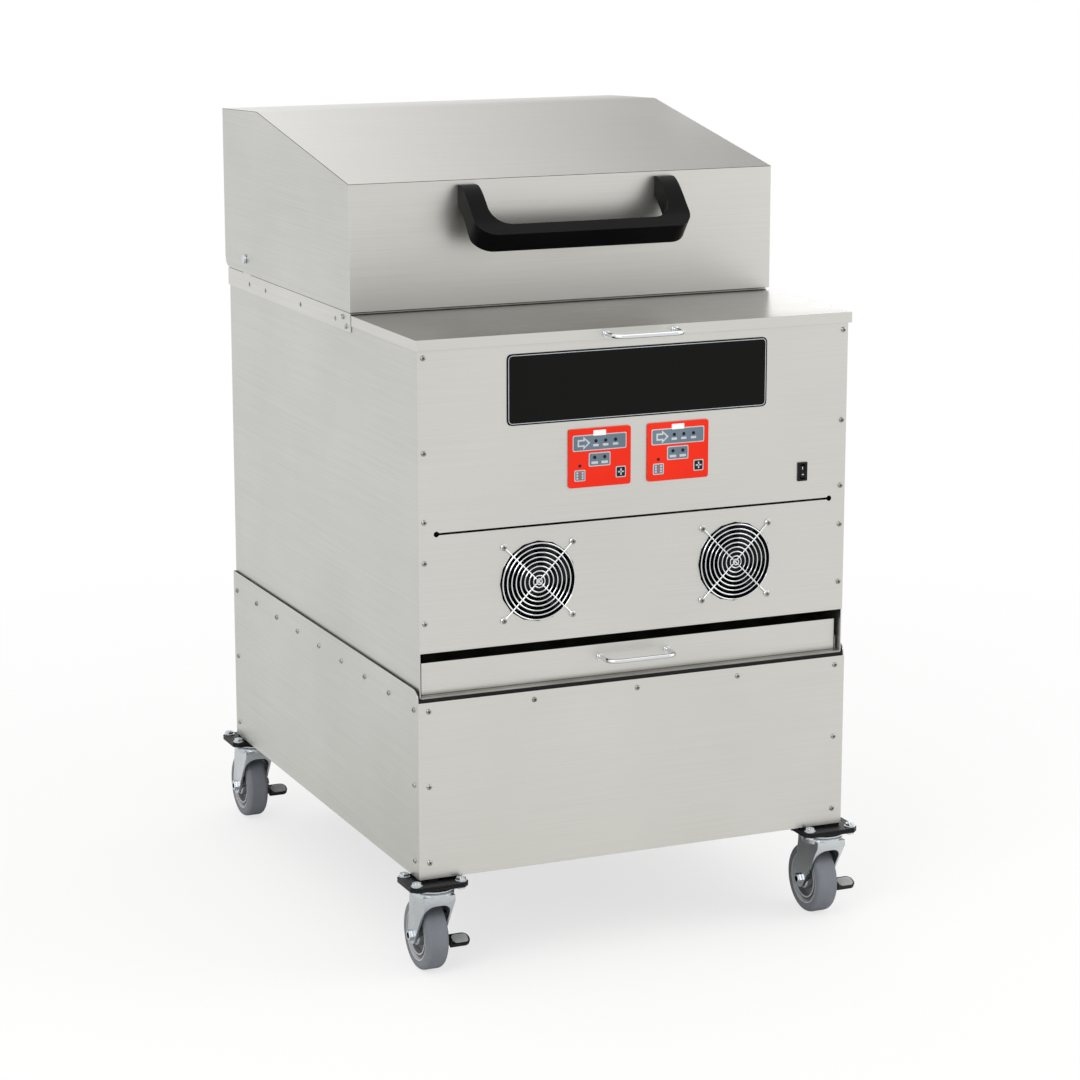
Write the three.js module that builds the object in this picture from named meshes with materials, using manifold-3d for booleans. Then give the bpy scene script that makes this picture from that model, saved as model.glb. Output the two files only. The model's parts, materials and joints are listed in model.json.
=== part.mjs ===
// Wood-fired charbroiler on casters, in millimetres, +Z up.
// The front faces -Y, +X is to the right of someone standing in front of it, and the floor is Z = 0.
// Left is -X. The pieces are laid out from the middle of the cabinet's front,
// and the whole is centred at the end.
import * as THREE from "three";
import { mergeVertices } from "three/addons/utils/BufferGeometryUtils.js";
import Module from "manifold-3d";

const wasm = await Module();
wasm.setup();

// Sheet, gaps and cutting allowance
const sheet = 1.5;
const heavySheet = 2;
const fit = 0.3;
const slack = 1.2;
const overrun = 10;

// Cabinet and base
const cabinetWidth = 654;
const cabinetDepth = 800;
const baseOverhang = 4;
const baseProud = 2;
const baseFrontHeight = 253;
const baseSideRise = 17;
const drawerBayHeight = 69;
const frontPanelHeight = 425;
const flange = 15;
const frameDrop = 7;
const frameAngle = 25;
const frameWall = 2;
const deckThickness = 2.5;
const deckLift = 5;

// Hopper, its lid and the wire pulls
const hopperDepth = 224;
const hopperSetback = 12;
const hopperSideGap = 8;
const hopperStraightHeight = 110;
const hopperSlopeHeight = 90;
const hopperTroughWidth = 60;
const lidLift = 5.5;
const lidLip = 15;
const lidOverhang = 4;
const lidDepth = 247;
const hingeRadius = 3;
const hingePinRadius = 1.5;
const hingeDrop = 7;
const hingeFromEdge = 3.5;
const hingeMiddle = 200;
const hingeEndInset = 27;
const hingePinReach = 15;
const pullCentres = 104;
const pullReach = 38;
const pullWireRadius = 3;
const pullBend = 14;

// Hood
const hoodFrontY = 248;
const hoodBackOverhang = 8;
const hoodGap = 3;
const hoodFrontHeight = 180;
const hoodRidgeRise = 71;
const hoodRidgeBack = 395;
const hoodBackDrop = 7;
const hoodCornerRadius = 20;
const hoodBackOpening = 82;
const pivotFromBack = 99.5;
const pivotFromBottom = 22;
const pivotRadius = 4;
const pivotHeadRadius = 7;
const pivotHeadHeight = 4;
const handleWidth = 334;
const handleReach = 84;
const handleLegWidth = 27;
const handleTopBelowEdge = 7;
const handleHeight = 89;
const handleFootHeight = 29;
const handleFootReach = 6;
const handleKnee = 20;
const handleUnderKnee = 12;
const handleElbow = 22;
const handleUnderElbow = 8;
const gripWidth = 20;
const gripThickness = 33;
const gripCornerRadius = 30;
const handleWindowRadius = 32;

// Cook box, rim and what lies in it
const cookBoxSideGap = 11;
const cookBoxFrontGap = 14;
const cookBoxBackGap = 10;
const cookBoxDepth = 285;
const rimSkirt = 27;
const pivotEarWidth = 37;
const pivotEarRise = 15;
const backPanelRise = 72;
const ledgeWidth = 14;
const grateLedgeWidth = 8;
const grateLedgeDrop = 29;
const grateBarWidth = 6;
const grateBarHeight = 10;
const grateBarPitch = 22;
const grateEndBar = 12;
const grateGap = 3;
const grateEndGap = 3;
const deflectorLedgeHeight = 130;
const deflectorRise = 45;
const deflectorEndGap = 20;
const drainWidth = 50;
const drainDrawerGap = 10;

// Fire pots, augers and their motors
const trainSpacing = 303;
const potRadius = 62;
const potWall = 5;
const potBelowFloor = 45;
const potAboveFloor = 88;
const potFlange = 13;
const potFlangeThickness = 3;
const potFromFront = 520;
const airHoleRadius = 5;
const airHoleDrop = 22;
const augerTubeRadius = 30;
const augerTubeWall = 3;
const augerHeightAboveFloor = 45;
const augerTubeStart = 75;
const augerInletWidth = 50;
const augerShaftRadius = 10;
const augerFlightRadius = 25;
const augerFlightThickness = 4;
const augerPitch = 55;
const augerStartGap = 2;
const motorShaftRadius = 6;
const motorShaftReach = 16;
const gearboxWidth = 64;
const gearboxDepth = 50;
const gearboxHeight = 66;
const motorCanRadius = 22;
const motorCanLength = 50;

// Fans
const fanSize = 119;
const fanDepth = 38;
const fanBore = 57;
const fanScrewPitch = 104.8;
const fanHeight = 86.5;
const fanPanelOpening = 57;
const fanHubRadius = 22;
const fanSpindleRadius = 4;
const fanBladeReach = 54;
const fanBladeChord = 26;
const fanBladeThickness = 2;
const fanMountThickness = 3;
const fanStrutWidth = 6;
const guardWireRadius = 1.1;
const guardStandoff = 4;
const guardRingPitch = 6.5;
const guardOuterRadius = 54;
const guardEyeRadius = 4.5;

// Controls and plates on the front
const panelSlotHeight = 165;
const panelSlotInset = 25.5;
const panelSlotWidth = 3;
const panelSlotHoleRadius = 4;
const platePlaqueWidth = 395.6;
const platePlaqueHeight = 98.4;
const platePlaqueBottom = 306;
const platePlaqueThickness = 1;
const platePlaqueRadius = 8;
const controlWidth = 94;
const controlHeight = 82;
const controlSpacing = 119.6;
const controlBottom = 212.5;
const controlFaceThickness = 2.5;
const controlCornerRadius = 4;
const controlBodyWidth = 80;
const controlBodyHeight = 60;
const controlBodyDepth = 28;
const switchFromSide = 69.7;
const switchBottom = 194;
const switchWidth = 15;
const switchHeight = 27;
const switchBezel = 2;
const switchBodyDepth = 24;
const rockerThickness = 5;
const inletWidth = 48;
const inletHeight = 32;
const inletHousing = 22;
const inletBodyWidth = 28;
const inletBodyHeight = 24;
const inletBodyDepth = 8;
const inletRecessWidth = 24;
const inletRecessHeight = 16.5;
const inletRecessDepth = 17;
const inletPinLength = 10;
const inletPinThickness = 2;
const inletPinHeight = 4;
const inletPinSpacing = 14;
const inletFromSide = 87;
const inletAboveDeck = 90;

// Drawer
const drawerSetback = 12;
const drawerSideGap = 6.3;
const drawerFaceHeight = 45;
const drawerWallHeight = 38;
const drawerLength = 730;
const drawerPullDrop = 18;
const deckGuideHeight = 20;

// Casters
const wheelRadius = 50.8;
const wheelWidth = 32;
const casterHeight = 135;
const casterPlateWidth = 86;
const casterPlateDepth = 67;
const casterPlateThickness = 4;
const casterPlateCorner = 8;
const casterInset = 20;
const casterSetback = 10;
const casterTrail = 26;
const racewayRadius = 32;
const racewayHeight = 6;
const forkCrownHeight = 5;
const kingpinRadius = 6;
const kingpinLength = 7;
const forkWall = 3;
const wheelSideGap = 3.5;
const forkArchClearance = 6.5;
const forkArchRadius = 12;
const forkAxleBoss = 13;
const axleRadius = 4.75;
const axleNutRadius = 8.5;
const axleNutHeight = 5;
const casterBoltRadius = 4;
const casterNutRadius = 7.5;
const casterNutHeight = 6;
const casterBoltInset = 10;
const gussetThickness = 3;
const hubRadius = 17;
const hubExtra = 2;
const webThickness = 14;
const rimInnerRadius = 35;
const treadCorner = 4;
const pedalArm = 24;
const pedalDrop = 8;
const pedalArmWidth = 12;
const pedalArmThickness = 3;
const pedalWidth = 32;
const pedalLength = 22;
const pedalThickness = 5;
const pedalCorner = 8;

// Slants, in degrees
const gripSlant = 38;
const pedalSlant = 25;

// Numbers of copies and of flat sides on round forms
const wheelSides = 20;
const roundSides = 16;
const smallSides = 12;
const wireSides = 8;
const hexSides = 6;
const guardWireSides = 3;
const guardRingSides = 12;
const cornerSteps = 4;
const guardRings = 8;
const fanBlades = 7;
const airHoles = 4;
const flightStepsPerTurn = 8;

// Heights and places that follow from the sizes above
const baseZ = casterHeight + frameDrop;
const baseTopZ = baseZ + baseFrontHeight;
const deckZ = baseTopZ + deckLift;
const deckTopZ = deckZ + deckThickness;
const frontPanelZ = baseTopZ + drawerBayHeight;
const frontPanelTopZ = frontPanelZ + frontPanelHeight;
const hopperTopZ = frontPanelTopZ + fit + sheet;
const lidTopZ = frontPanelTopZ + lidLift + sheet;
const halfWidth = cabinetWidth / 2;
const baseHalf = halfWidth + baseOverhang;
const sideTopZ = lidTopZ - heavySheet;
const cookFlangeZ = sideTopZ + fit;
const rimTopZ = cookFlangeZ + 2 * sheet + fit;
const hoodZ = lidTopZ + hoodGap;
const hoodHalf = baseHalf;
const hoodDepth = cabinetDepth + hoodBackOverhang - hoodFrontY;
const pivotY = hoodFrontY + hoodDepth - pivotFromBack;
const pivotZ = hoodZ + pivotFromBottom;
const cookHalf = halfWidth - cookBoxSideGap;
const cookFrontY = hoodFrontY + cookBoxFrontGap;
const cookBackY = cabinetDepth - cookBoxBackGap;
const cookFloorZ = sideTopZ - cookBoxDepth;
const augerZ = cookFloorZ + augerHeightAboveFloor;
const trainX = trainSpacing / 2;
const switchX = halfWidth - switchFromSide;
const inletX = halfWidth - inletFromSide;
const fanZ = frontPanelZ + fanHeight;
const hopperHalf = halfWidth - hopperSideGap;
const hopperBackY = hopperSetback + hopperDepth;
const hopperFloorZ = hopperTopZ - hopperStraightHeight - hopperSlopeHeight;
const lidBackY = lidDepth - lidOverhang;
const hingeY = lidBackY - hingeFromEdge;
const hingeZ = lidTopZ - hingeDrop;
const drawerHalf = halfWidth - drawerSideGap;
const drawerZ = deckTopZ + fit;
const casterX = halfWidth - casterInset;
const casterFrontY = casterSetback;
const casterBackY = cabinetDepth - casterSetback;

// Colours and finishes
function finish(color, roughness, metalness) {
  return new THREE.MeshStandardMaterial({ color, roughness, metalness });
}
const stainless = finish(0xc9c9c4, 0.38, 1);
const stainlessDull = finish(0xa9a9a4, 0.5, 1);
const blackPaint = finish(0x17181a, 0.55, 0);
const blackPlastic = finish(0x101112, 0.35, 0);
const zinc = finish(0xc8ccd0, 0.35, 1);
const chromeWire = finish(0xd8dadc, 0.18, 1);
const greyRubber = finish(0x7c7f86, 0.8, 0);
const castIron = finish(0x2c2c2d, 0.75, 0.4);
const redOverlay = finish(0xeb2a06, 0.45, 0);

// A closed geometry as a solid that can be joined and cut
function solid(geometry) {
  const bare = geometry.clone();
  bare.deleteAttribute("normal");
  bare.deleteAttribute("uv");
  const merged = mergeVertices(bare);
  const triVerts = Uint32Array.from(merged.index.array);
  const vertProperties = merged.getAttribute("position").array;
  return new wasm.Manifold(new wasm.Mesh({ numProp: 3, vertProperties, triVerts }));
}

function join(...solids) {
  return solids.reduce((whole, next) => whole.add(next));
}

function cut(whole, ...tools) {
  return tools.reduce((rest, tool) => rest.subtract(tool), whole);
}

// A box between two values on each axis
function box(x0, x1, y0, y1, z0, z1) {
  const shape = new THREE.BoxGeometry(x1 - x0, y1 - y0, z1 - z0);
  shape.translate((x0 + x1) / 2, (y0 + y1) / 2, (z0 + z1) / 2);
  return solid(shape);
}

// A round bar between two points
function bar(from, to, radius, sides = smallSides) {
  const start = new THREE.Vector3(...from);
  const way = new THREE.Vector3(...to).sub(start);
  const shape = new THREE.CylinderGeometry(radius, radius, way.length(), sides);
  const turn = new THREE.Quaternion().setFromUnitVectors(
    new THREE.Vector3(0, 1, 0),
    way.clone().normalize(),
  );
  shape.applyQuaternion(turn);
  shape.translate(...start.addScaledVector(way, 1 / 2).toArray());
  return solid(shape);
}

// An outline drawn as (y, z), carried along X
function alongX(shape, x0, x1, curveSegments = cornerSteps) {
  const made = new THREE.ExtrudeGeometry(shape, { depth: x1 - x0, bevelEnabled: false, curveSegments });
  const axes = new THREE.Matrix4().makeBasis(
    new THREE.Vector3(0, 1, 0),
    new THREE.Vector3(0, 0, 1),
    new THREE.Vector3(1, 0, 0),
  );
  made.applyMatrix4(axes);
  made.translate(x0, 0, 0);
  return solid(made);
}

// An outline drawn as (x, z), carried along Y
function alongY(shape, y0, y1, curveSegments = cornerSteps) {
  const made = new THREE.ExtrudeGeometry(shape, { depth: y1 - y0, bevelEnabled: false, curveSegments });
  const axes = new THREE.Matrix4().makeBasis(
    new THREE.Vector3(1, 0, 0),
    new THREE.Vector3(0, 0, 1),
    new THREE.Vector3(0, -1, 0),
  );
  made.applyMatrix4(axes);
  made.translate(0, y1, 0);
  return solid(made);
}

// An outline drawn as (x, y), carried up Z
function alongZ(shape, z0, z1, curveSegments = cornerSteps) {
  const made = new THREE.ExtrudeGeometry(shape, { depth: z1 - z0, bevelEnabled: false, curveSegments });
  made.translate(0, 0, z0);
  return solid(made);
}

function polygon(points) {
  return new THREE.Shape(points.map(([u, v]) => new THREE.Vector2(u, v)));
}

// A rectangle with four rounded corners
function roundedRectangle(u0, u1, v0, v1, radius) {
  const shape = new THREE.Shape();
  shape.moveTo(u0 + radius, v0);
  shape.lineTo(u1 - radius, v0);
  shape.quadraticCurveTo(u1, v0, u1, v0 + radius);
  shape.lineTo(u1, v1 - radius);
  shape.quadraticCurveTo(u1, v1, u1 - radius, v1);
  shape.lineTo(u0 + radius, v1);
  shape.quadraticCurveTo(u0, v1, u0, v1 - radius);
  shape.lineTo(u0, v0 + radius);
  shape.quadraticCurveTo(u0, v0, u0 + radius, v0);
  return shape;
}

// A solid of revolution: profile points are (radius, height) up its own axis
function turned(profile, sides = roundSides) {
  const points = profile.map(([radius, height]) => new THREE.Vector2(radius, height));
  return new THREE.LatheGeometry(points, sides);
}

// One named piece in a group
function piece(group, name, material, made) {
  const { vertProperties, triVerts } = made.getMesh();
  const geometry = new THREE.BufferGeometry();
  geometry.setAttribute("position", new THREE.BufferAttribute(vertProperties, 3));
  geometry.setIndex(new THREE.BufferAttribute(triVerts, 1));
  const flat = geometry.toNonIndexed();
  flat.computeVertexNormals();
  const mesh = new THREE.Mesh(flat, material);
  mesh.name = name;
  group.add(mesh);
  return mesh;
}

const sides = [
  ["left", -1],
  ["right", 1],
];

// Plan of one caster's plate, centred on its swivel axis
function casterPlateOutline(cx, cy) {
  const u = casterPlateWidth / 2;
  const v = casterPlateDepth / 2;
  const c = casterPlateCorner;
  return polygon([
    [cx - u + c, cy - v],
    [cx + u - c, cy - v],
    [cx + u, cy - v + c],
    [cx + u, cy + v - c],
    [cx + u - c, cy + v],
    [cx - u + c, cy + v],
    [cx - u, cy + v - c],
    [cx - u, cy - v + c],
  ]);
}

function casterCorners() {
  const corners = [];
  for (const [place, y] of [["front", casterFrontY], ["back", casterBackY]]) {
    for (const [side, sign] of sides) corners.push([place + "_" + side, sign * casterX, y]);
  }
  return corners;
}

function casterBoltPlaces(cx, cy) {
  const u = casterPlateWidth / 2 - casterBoltInset;
  const v = casterPlateDepth / 2 - casterBoltInset;
  return [
    [cx - u, cy - v],
    [cx + u, cy - v],
    [cx - u, cy + v],
    [cx + u, cy + v],
  ];
}

// Base: a welded black angle frame with four gussets, closed by four screwed panels
function baseFrame() {
  const outX = baseHalf - sheet - fit;
  const outY0 = -baseProud + sheet + fit;
  const outY1 = cabinetDepth - outY0;
  const bottom = casterHeight + fit;
  const rail = baseZ + fit;
  const top = deckZ - fit;
  const ring = (z0, z1, width) =>
    cut(
      box(-outX, outX, outY0, outY1, z0, z1),
      box(-outX + width, outX - width, outY0 + width, outY1 - width, z0 - overrun, z1 + overrun),
    );
  const legs = [];
  for (const [x0, x1] of [[-outX, -outX + frameAngle], [outX - frameAngle, outX]]) {
    for (const [y0, y1] of [[outY0, outY0 + frameAngle], [outY1 - frameAngle, outY1]]) {
      const innerX0 = x0 < 0 ? x0 + frameWall : x0 - overrun;
      const innerX1 = x0 < 0 ? x1 + overrun : x1 - frameWall;
      const innerY0 = y0 < cabinetDepth / 2 ? y0 + frameWall : y0 - overrun;
      const innerY1 = y0 < cabinetDepth / 2 ? y1 + overrun : y1 - frameWall;
      legs.push(
        cut(
          box(x0, x1, y0, y1, bottom, top),
          box(innerX0, innerX1, innerY0, innerY1, bottom - overrun, top + overrun),
        ),
      );
    }
  }
  const frame = join(
    ring(rail, rail + frameWall, frameAngle),
    ring(rail, rail + frameAngle, frameWall),
    ring(top - frameWall, top, frameAngle),
    ring(top - frameAngle, top, frameWall),
    ...legs,
    ...casterCorners().map(([, x, y]) =>
      alongZ(casterPlateOutline(x, y), bottom, bottom + gussetThickness),
    ),
  );
  const holes = casterCorners().flatMap(([, x, y]) =>
    casterBoltPlaces(x, y).map(([bx, by]) =>
      bar([bx, by, bottom - overrun], [bx, by, bottom + overrun], casterBoltRadius + fit, hexSides),
    ),
  );
  return cut(frame, ...holes);
}

function baseFrontPanel(y0) {
  return box(-baseHalf, baseHalf, y0, y0 + sheet, baseZ, baseTopZ);
}

function baseBackPanel() {
  const y0 = cabinetDepth + baseProud - sheet;
  return box(-baseHalf, baseHalf, y0, y0 + sheet, baseZ, baseTopZ + baseSideRise);
}

// The side panel stands higher than the front one and is rounded down to it at the front
function baseSidePanel(sign) {
  const y0 = -baseProud + sheet + fit;
  const y1 = cabinetDepth - y0;
  const top = baseTopZ + baseSideRise;
  const shape = new THREE.Shape();
  shape.moveTo(y0, baseZ);
  shape.lineTo(y1, baseZ);
  shape.lineTo(y1, top);
  shape.lineTo(y0 + baseSideRise, top);
  shape.quadraticCurveTo(y0, top, y0, baseTopZ);
  const x0 = sign > 0 ? baseHalf - sheet : -baseHalf;
  return alongX(shape, x0, x0 + sheet, wireSides);
}

// Deck that the drawer slides on, with two upright guides
function drawerDeck() {
  const half = halfWidth - sheet - fit;
  const guide = drawerHalf + slack;
  const guides = sides.map(([, sign]) => {
    const x0 = sign > 0 ? guide : -guide - sheet;
    return box(x0, x0 + sheet, drawerSetback, cabinetDepth - flange, deckZ, deckTopZ + deckGuideHeight);
  });
  return join(box(-half, half, 0, cabinetDepth - sheet - flange, deckZ, deckTopZ), ...guides);
}

// Cabinet side: a flat panel with its front and back edges folded in
function sidePanel(sign) {
  const y0 = sheet + fit;
  const y1 = cabinetDepth - sheet - fit;
  const outline = polygon([
    [y0, deckZ],
    [y1, deckZ],
    [y1, sideTopZ],
    [hoodFrontY, sideTopZ],
    [hoodFrontY, frontPanelTopZ],
    [y0, frontPanelTopZ],
  ]);
  const outer = sign * halfWidth;
  const wall = Math.min(outer, outer - sign * sheet);
  const fold = Math.min(outer, outer - sign * flange);
  return join(
    alongX(outline, wall, wall + sheet),
    box(fold, fold + flange, y0, y0 + sheet, frontPanelZ, frontPanelTopZ),
    box(fold, fold + flange, y1 - sheet, y1, deckTopZ + fit, sideTopZ),
  );
}

// Front panel: folded at top and bottom, with its long slot and the openings for fans and controls
function frontPanel() {
  const foldHalf = halfWidth - flange - slack;
  const fold = flange - sheet;
  const slotZ = frontPanelZ + panelSlotHeight;
  const slotHalf = halfWidth - panelSlotInset;
  const openings = [
    box(-slotHalf, slotHalf, -overrun, overrun, slotZ - panelSlotWidth / 2, slotZ + panelSlotWidth / 2),
  ];
  for (const [, sign] of sides) {
    const hole = sign * slotHalf;
    openings.push(bar([hole, -overrun, slotZ], [hole, overrun, slotZ], panelSlotHoleRadius));
    const fanX = sign * trainX;
    openings.push(bar([fanX, -overrun, fanZ], [fanX, overrun, fanZ], fanPanelOpening, roundSides));
    const controlX = (sign * controlSpacing) / 2;
    const controlZ = frontPanelZ + controlBottom + controlHeight / 2;
    openings.push(
      box(
        controlX - controlBodyWidth / 2 - fit,
        controlX + controlBodyWidth / 2 + fit,
        -overrun,
        overrun,
        controlZ - controlBodyHeight / 2 - fit,
        controlZ + controlBodyHeight / 2 + fit,
      ),
    );
  }
  const switchZ = frontPanelZ + switchBottom;
  openings.push(
    box(
      switchX - switchWidth / 2 + switchBezel - fit,
      switchX + switchWidth / 2 - switchBezel + fit,
      -overrun,
      overrun,
      switchZ + switchBezel - fit,
      switchZ + switchHeight - switchBezel + fit,
    ),
  );
  const blank = join(
    box(-halfWidth, halfWidth, 0, sheet, frontPanelZ, frontPanelTopZ),
    box(-foldHalf, foldHalf, 0, fold, frontPanelZ, frontPanelZ + sheet),
    box(-foldHalf, foldHalf, 0, fold - hopperSetback / 2, frontPanelTopZ - sheet, frontPanelTopZ),
  );
  return cut(blank, ...openings);
}

// Back panel: closes the cabinet and rises behind the cook box as a splash wall
function backPanel() {
  const y0 = cabinetDepth - sheet;
  const inletZ = deckTopZ + inletAboveDeck;
  return cut(
    box(-halfWidth, halfWidth, y0, cabinetDepth, deckZ, lidTopZ + backPanelRise),
    box(
      inletX - inletBodyWidth / 2 - fit,
      inletX + inletBodyWidth / 2 + fit,
      y0 - overrun,
      cabinetDepth + overrun,
      inletZ - inletBodyHeight / 2 - fit,
      inletZ + inletBodyHeight / 2 + fit,
    ),
  );
}

// Hopper: straight walls, then two slopes down to a trough with one outlet for each auger
function hopperOutline(inset, lift) {
  const front = hopperSetback + inset;
  const back = hopperBackY - inset;
  const middle = (hopperSetback + hopperBackY) / 2;
  const trough = hopperTroughWidth / 2 - inset;
  const knee = hopperTopZ - hopperStraightHeight;
  return polygon([
    [front, hopperTopZ + lift],
    [front, knee],
    [middle - trough, hopperFloorZ + inset],
    [middle + trough, hopperFloorZ + inset],
    [back, knee],
    [back, hopperTopZ + lift],
  ]);
}

function hopperBin() {
  const middle = (hopperSetback + hopperBackY) / 2;
  const shell = cut(
    alongX(hopperOutline(0, 0), -hopperHalf, hopperHalf),
    alongX(hopperOutline(sheet, overrun), -hopperHalf + sheet, hopperHalf - sheet),
  );
  const folds = sides.map(([, sign]) => {
    const inner = sign * (hopperHalf - sheet);
    const outer = sign * (halfWidth - fit);
    return box(
      Math.min(inner, outer),
      Math.max(inner, outer),
      hopperSetback,
      hopperBackY,
      hopperTopZ - sheet,
      hopperTopZ,
    );
  });
  const knuckle = join(
    bar([-hingeMiddle / 2, hingeY, hingeZ], [hingeMiddle / 2, hingeY, hingeZ], hingeRadius),
    box(
      -hingeMiddle / 2,
      hingeMiddle / 2,
      hopperBackY - sheet,
      hingeY,
      hingeZ - sheet,
      hingeZ + sheet / 2,
    ),
  );
  const bore = bar(
    [-hingeMiddle, hingeY, hingeZ],
    [hingeMiddle, hingeY, hingeZ],
    hingePinRadius + fit,
    wireSides,
  );
  const outlets = sides.map(([, sign]) => {
    const x = sign * trainX;
    const half = augerInletWidth / 2 - sheet;
    return box(
      x - half,
      x + half,
      middle - half,
      middle + half,
      hopperFloorZ - overrun,
      hopperFloorZ + overrun,
    );
  });
  return cut(join(shell, ...folds, cut(knuckle, bore)), ...outlets);
}

// Lid of the hopper: a tray of three turned-down lips that hangs on its back edge
function hopperLid() {
  const half = hoodHalf;
  const front = -lidOverhang;
  const lipZ = lidTopZ - lidLip;
  const tray = cut(
    box(-half, half, front, lidBackY, lipZ, lidTopZ),
    box(-half + sheet, half - sheet, front + sheet, lidBackY + overrun, lipZ - overrun, lidTopZ - sheet),
  );
  const knuckles = sides.flatMap(([, sign]) => {
    const inner = sign * (hingeMiddle / 2 + fit);
    const outer = sign * (halfWidth - hingeEndInset);
    const tip = sign * (hingeMiddle / 2 - hingePinReach);
    return [
      bar([inner, hingeY, hingeZ], [outer, hingeY, hingeZ], hingeRadius),
      bar([tip, hingeY, hingeZ], [outer, hingeY, hingeZ], hingePinRadius, wireSides),
      box(
        Math.min(inner, outer),
        Math.max(inner, outer),
        hingeY - sheet / 2,
        hingeY + sheet / 2,
        hingeZ,
        lidTopZ - sheet / 2,
      ),
    ];
  });
  return join(tray, ...knuckles);
}

// Wire pull: two feet on a face at y, and a bar held off it
function wirePull(y, z) {
  const half = pullCentres / 2;
  const reach = pullReach - pullWireRadius;
  const path = new THREE.CurvePath();
  const at = (x, away) => new THREE.Vector3(x, y - fit - away, z);
  path.add(new THREE.LineCurve3(at(-half, 0), at(-half, reach - pullBend)));
  path.add(
    new THREE.QuadraticBezierCurve3(
      at(-half, reach - pullBend),
      at(-half, reach),
      at(-half + pullBend, reach),
    ),
  );
  path.add(new THREE.LineCurve3(at(-half + pullBend, reach), at(half - pullBend, reach)));
  path.add(
    new THREE.QuadraticBezierCurve3(at(half - pullBend, reach), at(half, reach), at(half, reach - pullBend)),
  );
  path.add(new THREE.LineCurve3(at(half, reach - pullBend), at(half, 0)));
  return wire(path, pullWireRadius);
}

// A round wire along a path of straight stretches and bends, with its ends cut square
function wire(path, radius, stepsOnBend = 5) {
  const stops = [];
  for (const curve of path.curves) {
    const steps = curve.isLineCurve3 ? 1 : stepsOnBend;
    for (let i = 0; i < steps; i += 1) stops.push(curve.getPoint(i / steps));
  }
  stops.push(path.curves.at(-1).getPoint(1));
  const positions = [];
  const count = stops.length;
  stops.forEach((point, i) => {
    const before = stops[Math.max(i - 1, 0)];
    const after = stops[Math.min(i + 1, count - 1)];
    const way = after.clone().sub(before).normalize();
    const up = new THREE.Vector3(0, 0, 1);
    const across = new THREE.Vector3().crossVectors(way, up);
    for (let k = 0; k < wireSides; k += 1) {
      const angle = (2 * Math.PI * k) / wireSides;
      const spot = point
        .clone()
        .addScaledVector(across, radius * Math.cos(angle))
        .addScaledVector(up, radius * Math.sin(angle));
      positions.push(...spot.toArray());
    }
  });
  const faces = [];
  for (let i = 0; i + 1 < count; i += 1) {
    for (let k = 0; k < wireSides; k += 1) {
      const a = i * wireSides + k;
      const b = i * wireSides + ((k + 1) % wireSides);
      faces.push(a, b, a + wireSides, b, b + wireSides, a + wireSides);
    }
  }
  const last = (count - 1) * wireSides;
  for (let k = 1; k + 1 < wireSides; k += 1) {
    faces.push(0, k + 1, k);
    faces.push(last, last + k, last + k + 1);
  }
  return closedShape(positions, faces);
}

// A closed shape from corner positions and triangles, turned to face out
function closedShape(positions, faces) {
  const make = (triVerts) =>
    new wasm.Manifold(
      new wasm.Mesh({
        numProp: 3,
        vertProperties: Float32Array.from(positions),
        triVerts: Uint32Array.from(triVerts),
      }),
    );
  const made = make(faces);
  return made.volume() > 0 ? made : make(faces.slice().reverse());
}

// Hood: a folded shell, open below and at the foot of its back
function hoodOutline() {
  const back = hoodFrontY + hoodDepth;
  const frontTop = hoodZ + hoodFrontHeight;
  const shape = new THREE.Shape();
  shape.moveTo(hoodFrontY, hoodZ);
  shape.lineTo(back - hoodCornerRadius, hoodZ);
  shape.quadraticCurveTo(back, hoodZ, back, hoodZ + hoodCornerRadius);
  shape.lineTo(back, frontTop + hoodRidgeRise - hoodBackDrop);
  shape.lineTo(hoodFrontY + hoodRidgeBack, frontTop + hoodRidgeRise);
  shape.lineTo(hoodFrontY, frontTop);
  return shape;
}

function hoodShell() {
  const back = hoodFrontY + hoodDepth;
  const frontTop = hoodZ + hoodFrontHeight;
  const slope = hoodRidgeRise / hoodRidgeBack;
  const openingTop = hoodZ + hoodBackOpening;
  const inside = polygon([
    [hoodFrontY + sheet, hoodZ - overrun],
    [back + overrun, hoodZ - overrun],
    [back + overrun, openingTop],
    [back - sheet, openingTop],
    [back - sheet, frontTop + hoodRidgeRise - hoodBackDrop - sheet],
    [hoodFrontY + hoodRidgeBack, frontTop + hoodRidgeRise - sheet],
    [hoodFrontY + sheet, frontTop + slope * sheet - sheet],
  ]);
  return cut(
    alongX(hoodOutline(), -hoodHalf, hoodHalf, wireSides),
    alongX(inside, -hoodHalf + sheet, hoodHalf - sheet),
    bar([-hoodHalf - overrun, pivotY, pivotZ], [hoodHalf + overrun, pivotY, pivotZ], pivotRadius + fit),
  );
}

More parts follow.
